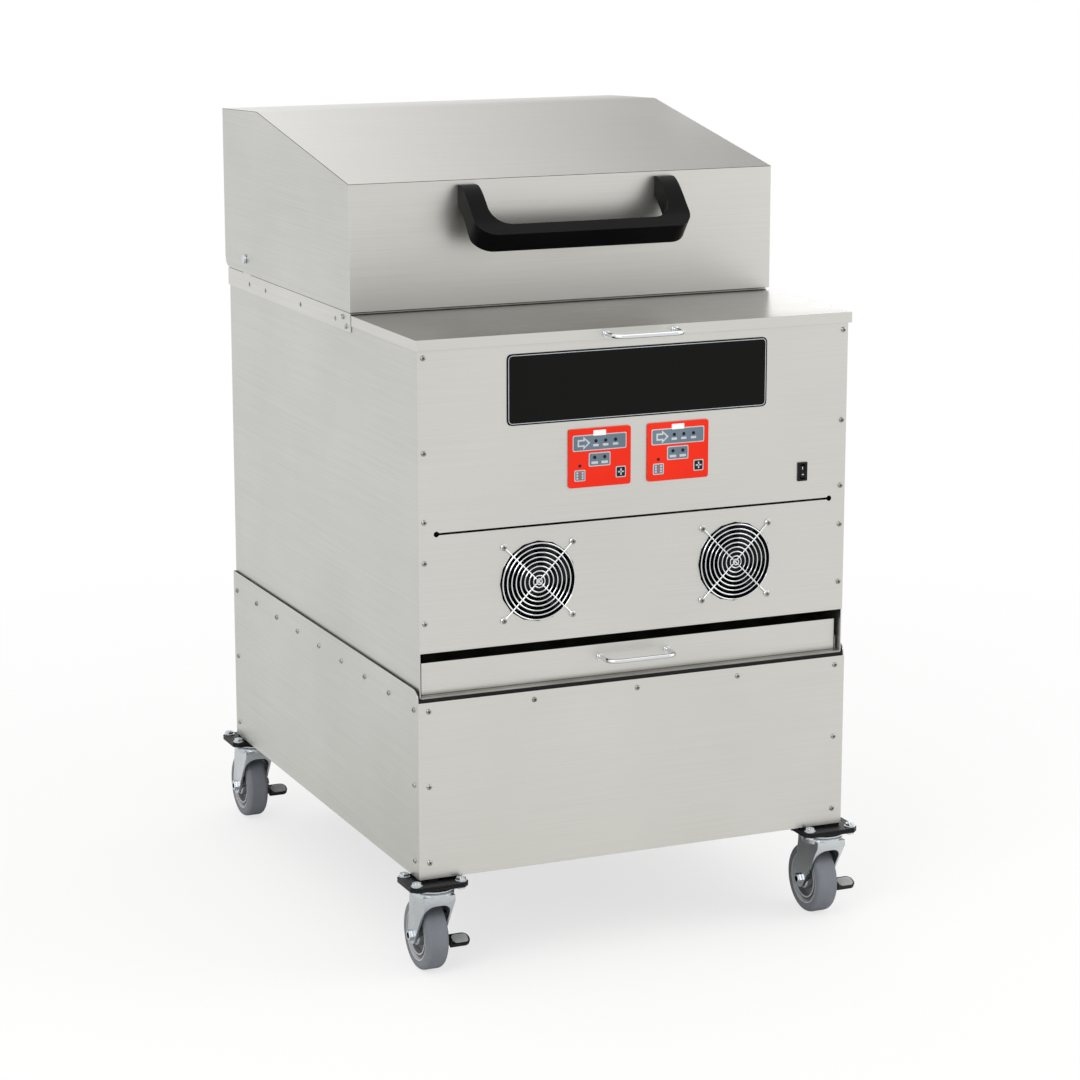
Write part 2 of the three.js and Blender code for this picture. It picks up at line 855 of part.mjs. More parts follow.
// Hood handle: a bar that arches out from the hood and down, bent to a U that lies at a slant
function hoodHandle() {
  const face = hoodFrontY - fit;
  const top = hoodZ + hoodFrontHeight - handleTopBelowEdge;
  const slant = (gripSlant * Math.PI) / 180;
  const along = [Math.cos(slant), Math.sin(slant)];
  const front = [hoodFrontY - handleReach, top - handleHeight + gripThickness * along[0]];
  const at = (back, below) => [
    front[0] + back * along[0] + below * along[1],
    front[1] + back * along[1] - below * along[0],
  ];
  const side = new THREE.Shape();
  side.moveTo(face, top);
  side.lineTo(face - handleFootReach, top);
  side.bezierCurveTo(
    face - handleFootReach - handleKnee,
    top,
    ...at(gripWidth + handleElbow, 0),
    ...at(gripWidth, 0),
  );
  side.lineTo(...at(-overrun, 0));
  side.lineTo(...at(-overrun, gripThickness));
  side.lineTo(...at(gripWidth, gripThickness));
  side.bezierCurveTo(
    ...at(gripWidth + handleUnderElbow, gripThickness),
    face - handleUnderKnee,
    top - handleFootHeight,
    face,
    top - handleFootHeight,
  );
  const half = handleWidth / 2;
  const inner = half - handleLegWidth;
  const strip = alongX(side, -half, half, wireSides);
  const slanted = (outline) => {
    const tool = alongZ(outline, -handleHeight, handleHeight, wireSides);
    return tool.rotate([gripSlant, 0, 0]).translate([0, ...front]);
  };
  const bow = slanted(roundedRectangle(-half, half, 0, 2 * handleHeight, gripCornerRadius));
  const window = slanted(
    roundedRectangle(-inner, inner, gripWidth, 2 * handleHeight, handleWindowRadius),
  );
  return cut(strip.intersect(bow), window);
}

// Pivot bolt of the hood: its head outside, its shank through the hood and the ear on the rim
function hoodPivot(sign) {
  const outer = sign * (hoodHalf + fit);
  const head = outer + sign * pivotHeadHeight;
  const ear = sign * (halfWidth + fit);
  const nut = ear - sign * (fit + pivotHeadHeight);
  return join(
    bar([outer, pivotY, pivotZ], [head, pivotY, pivotZ], pivotHeadRadius),
    bar([outer, pivotY, pivotZ], [nut, pivotY, pivotZ], pivotRadius),
    bar([nut, pivotY, pivotZ], [ear - sign * fit, pivotY, pivotZ], pivotHeadRadius, hexSides),
  );
}

// Rim: a band round the top of the cabinet, folded in over the cook box, with an ear for each pivot
function rimBand() {
  const inX = halfWidth + fit;
  const outX = inX + sheet;
  const front = hoodFrontY + hoodGap + sheet;
  const back = cabinetDepth + fit + sheet;
  const skirtZ = rimTopZ - rimSkirt;
  const flangeIn = cookHalf - heavySheet;
  const skirts = cut(
    box(-outX, outX, front, back, skirtZ, rimTopZ),
    box(-inX, inX, front - overrun, cabinetDepth + fit, skirtZ - overrun, rimTopZ + overrun),
  );
  const top = cut(
    box(-outX, outX, front, cabinetDepth - sheet - fit, rimTopZ - sheet, rimTopZ),
    box(
      -flangeIn,
      flangeIn,
      cookFrontY + heavySheet,
      cabinetDepth,
      rimTopZ - overrun,
      rimTopZ + overrun,
    ),
  );
  const ears = sides.map(([, sign]) => {
    const inner = sign * inX;
    const outer = sign * outX;
    const ear = roundedRectangle(
      pivotY - pivotEarWidth / 2,
      pivotY + pivotEarWidth / 2,
      skirtZ,
      pivotZ + pivotEarRise,
      pivotEarRise,
    );
    return alongX(ear, Math.min(inner, outer), Math.max(inner, outer), cornerSteps);
  });
  const bore = bar(
    [-hoodHalf - overrun, pivotY, pivotZ],
    [hoodHalf + overrun, pivotY, pivotZ],
    pivotRadius + fit,
  );
  return cut(join(skirts, top, ...ears), bore);
}

// Cook box: an open tub with its rim folded out, ledges for the grates and the deflector, and a drain
function cookBox() {
  const wall = heavySheet;
  const top = cookFlangeZ + sheet;
  const tub = cut(
    box(-cookHalf, cookHalf, cookFrontY, cookBackY, cookFloorZ, top),
    box(
      -cookHalf + wall,
      cookHalf - wall,
      cookFrontY + wall,
      cookBackY - wall,
      cookFloorZ + wall,
      top + overrun,
    ),
  );
  const rim = cut(
    box(
      -halfWidth + fit,
      halfWidth - fit,
      hoodFrontY + hoodGap + sheet,
      cabinetDepth - sheet - fit,
      cookFlangeZ,
      top,
    ),
    box(-cookHalf, cookHalf, cookFrontY, cookBackY, cookFlangeZ - overrun, top + overrun),
  );
  const grateZ = sideTopZ - grateLedgeDrop;
  const inFront = cookFrontY + wall;
  const inBack = cookBackY - wall;
  const ledges = [
    box(-cookHalf, cookHalf, cookFrontY, inFront + grateLedgeWidth, grateZ - wall, grateZ),
    box(-cookHalf, cookHalf, inBack - grateLedgeWidth, cookBackY, grateZ - wall, grateZ),
  ];
  const deflectorZ = cookFloorZ + deflectorLedgeHeight;
  for (const [, sign] of sides) {
    const outer = sign * cookHalf;
    const inner = sign * (cookHalf - wall - ledgeWidth);
    ledges.push(
      box(
        Math.min(outer, inner),
        Math.max(outer, inner),
        inFront + deflectorEndGap,
        inBack - deflectorEndGap,
        deflectorZ - wall,
        deflectorZ,
      ),
    );
  }
  const drainZ = drawerZ + drawerFaceHeight + drainDrawerGap;
  const drainY = potFromFront;
  const half = drainWidth / 2;
  const drain = box(-half, half, drainY - half, drainY + half, drainZ, cookFloorZ + wall);
  const drainHole = box(
    -half + wall,
    half - wall,
    drainY - half + wall,
    drainY + half - wall,
    drainZ - overrun,
    cookFloorZ + overrun,
  );
  const openings = sides.flatMap(([, sign]) => {
    const x = sign * trainX;
    return [
      bar(
        [x, cookFrontY - overrun, augerZ],
        [x, inFront + overrun, augerZ],
        augerTubeRadius + fit,
        roundSides,
      ),
      bar(
        [x, potFromFront, cookFloorZ - overrun],
        [x, potFromFront, cookFloorZ + overrun],
        potRadius + fit,
        roundSides,
      ),
    ];
  });
  return cut(join(tub, rim, drain, ...ledges), drainHole, ...openings);
}

// Fire pot: a cup hung by its flange in the floor of the cook box, with air holes below the floor
function firePot(sign) {
  const bottom = cookFloorZ - potBelowFloor;
  const top = cookFloorZ + heavySheet + potAboveFloor;
  const seat = cookFloorZ + heavySheet + fit;
  const cup = turned([
    [0, bottom],
    [potRadius, bottom],
    [potRadius, seat],
    [potRadius + potFlange, seat],
    [potRadius + potFlange, seat + potFlangeThickness],
    [potRadius, seat + potFlangeThickness],
    [potRadius, top],
    [potRadius - potWall, top],
    [potRadius - potWall, bottom + potWall],
    [0, bottom + potWall],
  ]);
  cup.rotateX(Math.PI / 2);
  const x = sign * trainX;
  cup.translate(x, potFromFront, 0);
  const holes = Array.from({ length: airHoles / 2 }, (_, i) => {
    const angle = (2 * Math.PI * (i + 1 / 2)) / airHoles;
    const dx = potRadius * 2 * Math.cos(angle);
    const dy = potRadius * 2 * Math.sin(angle);
    const z = cookFloorZ - airHoleDrop;
    return bar([x - dx, potFromFront - dy, z], [x + dx, potFromFront + dy, z], airHoleRadius, wireSides);
  });
  const feed = bar(
    [x, potFromFront - 2 * potRadius, augerZ],
    [x, potFromFront, augerZ],
    augerTubeRadius + fit,
    roundSides,
  );
  return cut(solid(cup), ...holes, feed);
}

function augerTubeEnd() {
  return potFromFront - potRadius + potWall;
}

// Auger tube: from the motor under the hopper's outlet and into the fire pot
function augerTube(sign) {
  const x = sign * trainX;
  const middle = (hopperSetback + hopperBackY) / 2;
  const end = augerTubeEnd();
  const inner = augerTubeRadius - augerTubeWall;
  const half = augerInletWidth / 2;
  const collarTop = hopperFloorZ - fit;
  const frontPlate = box(
    x - gearboxWidth / 2,
    x + gearboxWidth / 2,
    augerTubeStart,
    augerTubeStart + augerTubeWall,
    augerZ - gearboxHeight / 2,
    augerZ + gearboxHeight / 2,
  );
  const body = join(
    bar([x, augerTubeStart, augerZ], [x, end, augerZ], augerTubeRadius, roundSides),
    box(x - half, x + half, middle - half, middle + half, augerZ, collarTop),
    frontPlate,
  );
  return cut(
    body,
    bar([x, augerTubeStart - overrun, augerZ], [x, end + overrun, augerZ], inner, roundSides),
    box(
      x - half + sheet,
      x + half - sheet,
      middle - half + sheet,
      middle + half - sheet,
      augerZ,
      collarTop + overrun,
    ),
  );
}

// Auger: a helical flight on a shaft, hollow at the front for the motor's shaft
function augerScrew(sign) {
  const x = sign * trainX;
  const start = augerTubeStart + augerStartGap;
  const end = augerTubeEnd();
  const length = end - start;
  const flightLength = length - 2 * augerShaftRadius;
  const turns = flightLength / augerPitch;
  const steps = Math.round(turns * flightStepsPerTurn);
  const positions = [];
  const inner = augerShaftRadius / 2;
  for (let i = 0; i <= steps; i += 1) {
    const share = i / steps;
    const angle = 2 * Math.PI * turns * share;
    const y = start + augerShaftRadius + flightLength * share;
    for (const [radius, shift] of [
      [inner, -augerFlightThickness / 2],
      [augerFlightRadius, -augerFlightThickness / 2],
      [augerFlightRadius, augerFlightThickness / 2],
      [inner, augerFlightThickness / 2],
    ]) {
      positions.push(x + radius * Math.cos(angle), y + shift, augerZ + radius * Math.sin(angle));
    }
  }
  const faces = [];
  for (let i = 0; i < steps; i += 1) {
    for (let k = 0; k < 4; k += 1) {
      const a = 4 * i + k;
      const b = 4 * i + ((k + 1) % 4);
      faces.push(a, b, a + 4, b, b + 4, a + 4);
    }
  }
  const last = 4 * steps;
  faces.push(0, 2, 1, 0, 3, 2, last, last + 1, last + 2, last, last + 2, last + 3);
  const bore = bar(
    [x, start - overrun, augerZ],
    [x, start + motorShaftReach + fit, augerZ],
    motorShaftRadius + fit,
  );
  return cut(
    join(
      closedShape(positions, faces),
      bar([x, start, augerZ], [x, end, augerZ], augerShaftRadius, wireSides),
    ),
    bore,
  );
}

// Gear motor: gearbox against the tube's front plate, motor can out to the side, shaft into the auger
function gearMotor(sign) {
  const x = sign * trainX;
  const back = augerTubeStart - fit;
  const middleY = back - gearboxDepth / 2;
  const canStart = x + (sign * gearboxWidth) / 2;
  return join(
    box(
      x - gearboxWidth / 2,
      x + gearboxWidth / 2,
      back - gearboxDepth,
      back,
      augerZ - gearboxHeight / 2,
      augerZ + gearboxHeight / 2,
    ),
    bar(
      [canStart - sign * fit, middleY, augerZ],
      [canStart + sign * motorCanLength, middleY, augerZ],
      motorCanRadius,
      roundSides,
    ),
    bar(
      [x, middleY, augerZ],
      [x, augerTubeStart + augerStartGap + motorShaftReach, augerZ],
      motorShaftRadius,
    ),
  );
}

// Fan frame: square housing with a round bore, four struts and the motor's mounting disc at the back
function fanFrame(sign) {
  const x = sign * trainX;
  const front = sheet + fit;
  const back = front + fanDepth;
  const half = fanSize / 2;
  const housing = cut(
    box(x - half, x + half, front, back, fanZ - half, fanZ + half),
    bar([x, front - overrun, fanZ], [x, back + overrun, fanZ], fanBore, roundSides),
  );
  const strutY = back - fanMountThickness;
  const struts = [0, 1].map((turn) => {
    const long = fanBore + sheet;
    const wide = fanStrutWidth / 2;
    const [a, b] = turn ? [wide, long] : [long, wide];
    return box(x - a, x + a, strutY, back, fanZ - b, fanZ + b);
  });
  const disc = bar([x, strutY, fanZ], [x, back, fanZ], fanHubRadius, roundSides);
  const bore = bar([x, strutY - overrun, fanZ], [x, back + overrun, fanZ], fanSpindleRadius + fit, wireSides);
  return cut(join(housing, ...struts, disc), bore);
}

// Fan rotor: hub and pitched blades about an axis along Y
function fanRotor(sign) {
  const x = sign * trainX;
  const front = sheet + fit + 2 * slack;
  const back = sheet + fit + fanDepth - fanMountThickness - slack;
  const blades = Array.from({ length: fanBlades }, (_, i) => {
    const reach = fanBladeReach - fanHubRadius / 2;
    const blade = new THREE.BoxGeometry(reach, fanBladeThickness, fanBladeChord);
    blade.rotateX(Math.PI / 4);
    blade.translate(fanHubRadius / 2 + reach / 2, 0, 0);
    blade.rotateY((2 * Math.PI * i) / fanBlades);
    blade.translate(x, (front + back) / 2, fanZ);
    return solid(blade);
  });
  return join(
    bar([x, front, fanZ], [x, back, fanZ], fanHubRadius, roundSides),
    bar([x, back - slack, fanZ], [x, sheet + fit + fanDepth, fanZ], fanSpindleRadius, wireSides),
    ...blades,
  );
}

// Finger guard: rings of wire on two crossed wires, with an eye at each corner screw
function fanGuard(sign) {
  const x = sign * trainX;
  const y = -guardStandoff;
  const rings = Array.from({ length: guardRings }, (_, i) => {
    const ring = new THREE.TorusGeometry(
      guardOuterRadius - i * guardRingPitch,
      guardWireRadius,
      guardWireSides,
      guardRingSides,
    );
    ring.rotateX(Math.PI / 2);
    ring.translate(x, y, fanZ);
    return solid(ring);
  });
  const corner = fanScrewPitch / 2;
  const spokes = [1, -1].map((slant) =>
    bar(
      [x - corner, y + guardWireRadius, fanZ - slant * corner],
      [x + corner, y + guardWireRadius, fanZ + slant * corner],
      guardWireRadius,
      cornerSteps,
    ),
  );
  const eyes = [-1, 1].flatMap((a) =>
    [-1, 1].map((b) =>
      bar(
        [x + a * corner, -fit, fanZ + b * corner],
        [x + a * corner, y - guardWireRadius / 2, fanZ + b * corner],
        guardEyeRadius,
        hexSides,
      ),
    ),
  );
  return join(...rings, ...spokes, ...eyes);
}

// Blank plate, controllers and switch on the front panel
function plaque() {
  const z0 = frontPanelZ + platePlaqueBottom;
  const half = platePlaqueWidth / 2;
  const shape = roundedRectangle(-half, half, z0, z0 + platePlaqueHeight, platePlaqueRadius);
  return alongY(shape, -fit - platePlaqueThickness, -fit, cornerSteps);
}

function controller(sign) {
  const x = (sign * controlSpacing) / 2;
  const z0 = frontPanelZ + controlBottom;
  const half = controlWidth / 2;
  const shape = roundedRectangle(x - half, x + half, z0, z0 + controlHeight, controlCornerRadius);
  const middle = z0 + controlHeight / 2;
  return join(
    alongY(shape, -fit - controlFaceThickness, -fit, cornerSteps),
    box(
      x - controlBodyWidth / 2,
      x + controlBodyWidth / 2,
      -fit - sheet / 2,
      controlBodyDepth,
      middle - controlBodyHeight / 2,
      middle + controlBodyHeight / 2,
    ),
  );
}

function switchBody() {
  const z0 = frontPanelZ + switchBottom;
  const x0 = switchX - switchWidth / 2;
  const x1 = switchX + switchWidth / 2;
  const depth = switchBodyDepth;
  return cut(
    join(
      box(x0, x1, -fit - switchBezel, -fit, z0, z0 + switchHeight),
      box(
        x0 + switchBezel,
        x1 - switchBezel,
        -fit - sheet / 2,
        depth,
        z0 + switchBezel,
        z0 + switchHeight - switchBezel,
      ),
    ),
    box(
      x0 + 2 * switchBezel - fit,
      x1 - 2 * switchBezel + fit,
      -overrun,
      rockerThickness + slack,
      z0 + 2 * switchBezel - slack,
      z0 + switchHeight - 2 * switchBezel + slack,
    ),
  );
}

// Rocker: a shallow wedge that tips about a line across its middle
function switchRocker() {
  const z0 = frontPanelZ + switchBottom + 2 * switchBezel;
  const z1 = frontPanelZ + switchBottom + switchHeight - 2 * switchBezel;
  const middle = (z0 + z1) / 2;
  const front = -fit - switchBezel;
  const back = front + rockerThickness;
  const wedge = polygon([
    [front - slack, z0 + slack],
    [back - slack, z0 + slack],
    [back, middle],
    [back - slack, z1 - slack],
    [front + slack, z1 - slack],
    [front + slack / 2, middle],
  ]);
  const half = switchWidth / 2 - 2 * switchBezel;
  return alongX(wedge, switchX - half, switchX + half);
}

// Power inlet: a housing on the back panel with a recess and three blades
function powerInlet() {
  const z = deckTopZ + inletAboveDeck;
  const face = cabinetDepth + fit;
  const x = inletX;
  const block = join(
    box(
      x - inletWidth / 2,
      x + inletWidth / 2,
      face,
      face + inletHousing,
      z - inletHeight / 2,
      z + inletHeight / 2,
    ),
    box(
      x - inletBodyWidth / 2,
      x + inletBodyWidth / 2,
      face - inletBodyDepth,
      face + inletHousing - inletRecessDepth,
      z - inletBodyHeight / 2,
      z + inletBodyHeight / 2,
    ),
  );
  const recess = box(
    x - inletRecessWidth / 2,
    x + inletRecessWidth / 2,
    face + inletHousing - inletRecessDepth,
    face + inletHousing + overrun,
    z - inletRecessHeight / 2,
    z + inletRecessHeight / 2,
  );
  const floor = face + inletHousing - inletRecessDepth;
  const blades = [-1, 0, 1].map((k) => {
    const bx = x + (k * inletPinSpacing) / 2;
    const bz = z + (k ? -inletPinHeight / 2 : inletPinHeight / 2);
    return box(
      bx - inletPinThickness / 2,
      bx + inletPinThickness / 2,
      floor - sheet,
      floor + inletPinLength,
      bz - inletPinHeight / 2,
      bz + inletPinHeight / 2,
    );
  });
  return join(cut(block, recess), ...blades);
}

// Drawer: an open tray behind a taller face
function drawerPan() {
  const y0 = drawerSetback;
  const tray = cut(
    box(-drawerHalf, drawerHalf, y0, y0 + drawerLength, drawerZ, drawerZ + drawerWallHeight),
    box(
      -drawerHalf + sheet,
      drawerHalf - sheet,
      y0 + sheet,
      y0 + drawerLength - sheet,
      drawerZ + sheet,
      drawerZ + drawerWallHeight + overrun,
    ),
  );
  return join(tray, box(-drawerHalf, drawerHalf, y0, y0 + sheet, drawerZ, drawerZ + drawerFaceHeight));
}

// Cooking grate: a cast plate with long slots between its bars
function cookingGrate(sign) {
  const y0 = cookFrontY + heavySheet + grateEndGap;
  const y1 = cookBackY - heavySheet - grateEndGap;
  const z0 = sideTopZ - grateLedgeDrop + fit;
  const outer = cookHalf - heavySheet - grateGap;
  const inner = grateGap / 2;
  const span = outer - inner - grateBarWidth;
  const count = Math.round(span / grateBarPitch);
  const pitch = span / count;
  const near = Math.min(sign * inner, sign * outer);
  const plate = box(near, near + outer - inner, y0, y1, z0, z0 + grateBarHeight);
  const slots = Array.from({ length: count }, (_, i) => {
    const x0 = near + grateBarWidth + i * pitch;
    const x1 = x0 + pitch - grateBarWidth;
    return box(x0, x1, y0 + grateEndBar, y1 - grateEndBar, z0 - overrun, z0 + overrun + grateBarHeight);
  });
  return cut(plate, ...slots);
}

// Heat deflector: a bent plate with a ridge over each fire pot
function heatDeflector() {
  const z0 = cookFloorZ + deflectorLedgeHeight + fit;
  const half = cookHalf - heavySheet - slack;
  const foot = half - ledgeWidth;
  const peak = z0 + deflectorRise;
  const t = heavySheet;
  const shape = polygon([
    [-half, z0],
    [-foot, z0],
    [-trainX, peak],
    [0, z0],
    [trainX, peak],
    [foot, z0],
    [half, z0],
    [half, z0 + t],
    [foot, z0 + t],
    [trainX, peak + t],
    [0, z0 + t],
    [-trainX, peak + t],
    [-foot, z0 + t],
    [-half, z0 + t],
  ]);
  const y0 = cookFrontY + heavySheet + deflectorEndGap;
  const y1 = cookBackY - heavySheet - deflectorEndGap;
  return alongY(shape, y0, y1);
}

// Caster, fixed part: top plate with its upper race and the four bolts through the gusset
function casterPlate(cx, cy) {
  const top = casterHeight;
  const under = top - casterPlateThickness;
  const raceZ = under - racewayHeight;
  const nutZ = top + 2 * fit + gussetThickness;
  const bolts = casterBoltPlaces(cx, cy).flatMap(([x, y]) => [
    bar([x, y, under], [x, y, nutZ + casterNutHeight], casterBoltRadius, hexSides),
    bar([x, y, nutZ], [x, y, nutZ + casterNutHeight], casterNutRadius, hexSides),
  ]);
  const body = join(
    alongZ(casterPlateOutline(cx, cy), under, top),
    bar([cx, cy, raceZ], [cx, cy, under + sheet], racewayRadius, roundSides),
    ...bolts,
  );
  const bore = bar([cx, cy, raceZ - overrun], [cx, cy, raceZ + kingpinLength + fit], kingpinRadius + fit);
  return cut(body, bore);
}

// Caster, swivelling part: crown, two legs with an arch between them, kingpin and axle
function casterFork(cx, cy) {
  const crownTop = casterHeight - casterPlateThickness - racewayHeight - fit;
  const crownZ = crownTop - forkCrownHeight;
  const axleY = cy + casterTrail;
  const inner = wheelWidth / 2 + wheelSideGap;
  const outer = inner + forkWall;
  const legs = new THREE.Shape();
  legs.moveTo(cy - racewayRadius + forkWall, crownTop - forkCrownHeight / 2);
  legs.lineTo(cy - racewayRadius + forkWall, crownZ - forkWall);
  legs.lineTo(axleY - forkAxleBoss, wheelRadius);
  legs.absarc(axleY, wheelRadius, forkAxleBoss, Math.PI, 2 * Math.PI, false);
  legs.lineTo(cy + racewayRadius - forkWall, crownZ - forkWall);
  legs.lineTo(cy + racewayRadius - forkWall, crownTop - forkCrownHeight / 2);
  const arch = roundedRectangle(
    cx - inner,
    cx + inner,
    -overrun - forkArchRadius,
    2 * wheelRadius + forkArchClearance,
    forkArchRadius,
  );
  const yoke = cut(
    alongX(legs, cx - outer, cx + outer, cornerSteps),
    alongY(arch, cy - 2 * wheelRadius, axleY + 2 * wheelRadius, cornerSteps),
  );
  const nutLeft = cx - outer - axleNutHeight;
  const nutRight = cx + outer + pedalArmThickness + 2 * fit;
  return join(
    yoke,
    bar([cx, cy, crownZ], [cx, cy, crownTop], racewayRadius, roundSides),
    bar([cx, cy, crownZ], [cx, cy, crownTop + fit + kingpinLength], kingpinRadius),
    bar([nutLeft, axleY, wheelRadius], [nutRight + axleNutHeight, axleY, wheelRadius], axleRadius),
    bar(
      [nutLeft, axleY, wheelRadius],
      [cx - outer + forkWall / 2, axleY, wheelRadius],
      axleNutRadius,
      hexSides,
    ),
    bar(
      [nutRight, axleY, wheelRadius],
      [nutRight + axleNutHeight, axleY, wheelRadius],
      axleNutRadius,
      hexSides,
    ),
  );
}

// Caster wheel: bored hub, web, rim and rounded tread
function casterWheel(cx, cy) {
  const tread = wheelWidth / 2;
  const web = webThickness / 2;
  const hub = tread + hubExtra;
  const bore = axleRadius + fit;
  const wheel = turned([
    [bore, -hub],
    [hubRadius, -hub],
    [hubRadius, -web],
    [rimInnerRadius, -web],
    [rimInnerRadius, -tread],
    [wheelRadius - treadCorner, -tread],
    [wheelRadius, -tread + treadCorner],
    [wheelRadius, tread - treadCorner],
    [wheelRadius - treadCorner, tread],
    [rimInnerRadius, tread],
    [rimInnerRadius, web],
    [hubRadius, web],
    [hubRadius, hub],
    [bore, hub],
    [bore, -hub],
  ], wheelSides);
  wheel.rotateZ(-Math.PI / 2);
  wheel.translate(cx, cy + casterTrail, wheelRadius);
  return solid(wheel);
}

// Brake lever: an arm round the axle on the right of the fork, with a pedal that stands out sideways
function brakePedal(cx, cy) {
  const axleY = cy + casterTrail;
  const x0 = cx + wheelWidth / 2 + wheelSideGap + forkWall + fit;
  const x1 = x0 + pedalArmThickness;
  const tipY = axleY - pedalArm;
  const tipZ = wheelRadius - pedalDrop;
  const half = pedalArmWidth / 2;
  const arm = polygon([
    [axleY + half, wheelRadius - half],
    [axleY + half, wheelRadius + half],
    [axleY - half, wheelRadius + half],
    [tipY - pedalLength / 2, tipZ + half],
    [tipY - pedalLength / 2, tipZ - half],
    [tipY + pedalLength / 2, tipZ - half],
  ]);
  const pedal = alongZ(
    roundedRectangle(x0, x0 + pedalWidth, -pedalLength / 2, pedalLength / 2, pedalCorner),
    -pedalThickness / 2,
    pedalThickness / 2,
  );
  return cut(
    join(
      alongX(arm, x0, x1),
      bar([x0, axleY, wheelRadius], [x1, axleY, wheelRadius], axleNutRadius),
      pedal.rotate([pedalSlant, 0, 0]).translate([0, tipY, tipZ]),
    ),
    bar([x0 - overrun, axleY, wheelRadius], [x1 + overrun, axleY, wheelRadius], axleRadius + fit),
  );
}

// The whole, as groups of named pieces
const charbroiler = new THREE.Group();

function addGroup() {
  const group = new THREE.Group();
  charbroiler.add(group);
  return group;
}

const base = addGroup();
piece(base, "base_frame", blackPaint, baseFrame());
piece(base, "base_front_panel", stainless, baseFrontPanel(-baseProud));
piece(base, "base_back_panel", stainless, baseBackPanel());
for (const [side, sign] of sides) piece(base, "base_" + side + "_panel", stainless, baseSidePanel(sign));

const cabinet = addGroup();
piece(cabinet, "drawer_deck", stainlessDull, drawerDeck());
piece(cabinet, "front_panel", stainless, frontPanel());
piece(cabinet, "back_panel", stainless, backPanel());
piece(cabinet, "rim_band", stainless, rimBand());
piece(cabinet, "cook_box", stainlessDull, cookBox());
piece(cabinet, "blank_plate", blackPlastic, plaque());
piece(cabinet, "switch_body", blackPlastic, switchBody());
piece(cabinet, "switch_rocker", blackPlastic, switchRocker());
piece(cabinet, "power_inlet", blackPlastic, powerInlet());
for (const [side, sign] of sides) {
  piece(cabinet, side + "_side_panel", stainless, sidePanel(sign));
  piece(cabinet, "controller_" + side, redOverlay, controller(sign));
}

const fire = addGroup();
for (const [side, sign] of sides) {
  piece(fire, "fire_pot_" + side, castIron, firePot(sign));
  piece(fire, "auger_tube_" + side, stainlessDull, augerTube(sign));
  piece(fire, "auger_screw_" + side, stainlessDull, augerScrew(sign));
  piece(fire, "gear_motor_" + side, blackPaint, gearMotor(sign));
  piece(fire, "fan_frame_" + side, blackPlastic, fanFrame(sign));
  piece(fire, "fan_rotor_" + side, blackPlastic, fanRotor(sign));
  piece(fire, "fan_guard_" + side, chromeWire, fanGuard(sign));
  piece(fire, "cooking_grate_" + side, castIron, cookingGrate(sign));
}
piece(fire, "heat_deflector", stainlessDull, heatDeflector());

const hood = addGroup();
piece(hood, "hood_shell", stainless, hoodShell());
piece(hood, "hood_handle", blackPlastic, hoodHandle());
for (const [side, sign] of sides) piece(hood, "hood_pivot_" + side, zinc, hoodPivot(sign));

const hopper = addGroup();
piece(hopper, "hopper_bin", stainlessDull, hopperBin());
piece(hopper, "hopper_lid", stainless, hopperLid());
piece(hopper, "lid_handle", chromeWire, wirePull(-lidOverhang, lidTopZ - lidLip / 2));

const drawer = addGroup();
piece(drawer, "drawer_pan", stainless, drawerPan());
piece(
  drawer,
  "drawer_handle",
  chromeWire,
  wirePull(drawerSetback, drawerZ + drawerFaceHeight - drawerPullDrop),
);

const casters = addGroup();
for (const [place, x, y] of casterCorners()) {
  piece(casters, "caster_plate_" + place, blackPaint, casterPlate(x, y));
  piece(casters, "caster_fork_" + place, zinc, casterFork(x, y));
  piece(casters, "caster_wheel_" + place, greyRubber, casterWheel(x, y));
  piece(casters, "brake_pedal_" + place, blackPaint, brakePedal(x, y));
}

// The origin is on the floor, under the middle of the whole
const reachLeft = casterX + casterPlateWidth / 2;
const reachRight = casterX + wheelWidth / 2 + wheelSideGap + forkWall + fit + pedalWidth;
const reachFront = lidOverhang + fit + pullReach;
const reachBack = casterBackY + casterTrail + wheelRadius;
charbroiler.position.set((reachLeft - reachRight) / 2, (reachFront - reachBack) / 2, 0);

export default charbroiler;
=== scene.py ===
from math import cos, hypot, pi, radians, sin

import bmesh
import bpy
from mathutils import Matrix, Vector
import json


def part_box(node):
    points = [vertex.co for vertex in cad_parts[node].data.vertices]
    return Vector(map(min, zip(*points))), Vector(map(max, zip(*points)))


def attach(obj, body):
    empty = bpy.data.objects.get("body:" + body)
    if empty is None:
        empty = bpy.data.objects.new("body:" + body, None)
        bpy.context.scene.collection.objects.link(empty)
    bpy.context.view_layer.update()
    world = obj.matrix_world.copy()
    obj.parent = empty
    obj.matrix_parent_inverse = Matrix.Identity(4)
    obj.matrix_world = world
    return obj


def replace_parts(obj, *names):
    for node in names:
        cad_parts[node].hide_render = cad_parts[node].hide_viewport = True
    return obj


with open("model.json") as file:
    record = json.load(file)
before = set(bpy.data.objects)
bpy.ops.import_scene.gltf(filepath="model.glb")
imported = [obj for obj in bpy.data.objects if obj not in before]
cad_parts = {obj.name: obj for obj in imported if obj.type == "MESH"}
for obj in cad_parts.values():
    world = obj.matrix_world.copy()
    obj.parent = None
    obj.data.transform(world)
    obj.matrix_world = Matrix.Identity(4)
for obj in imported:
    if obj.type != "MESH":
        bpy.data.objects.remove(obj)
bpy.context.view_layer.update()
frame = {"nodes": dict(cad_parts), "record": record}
nodes = frame["nodes"]
record = frame["record"]

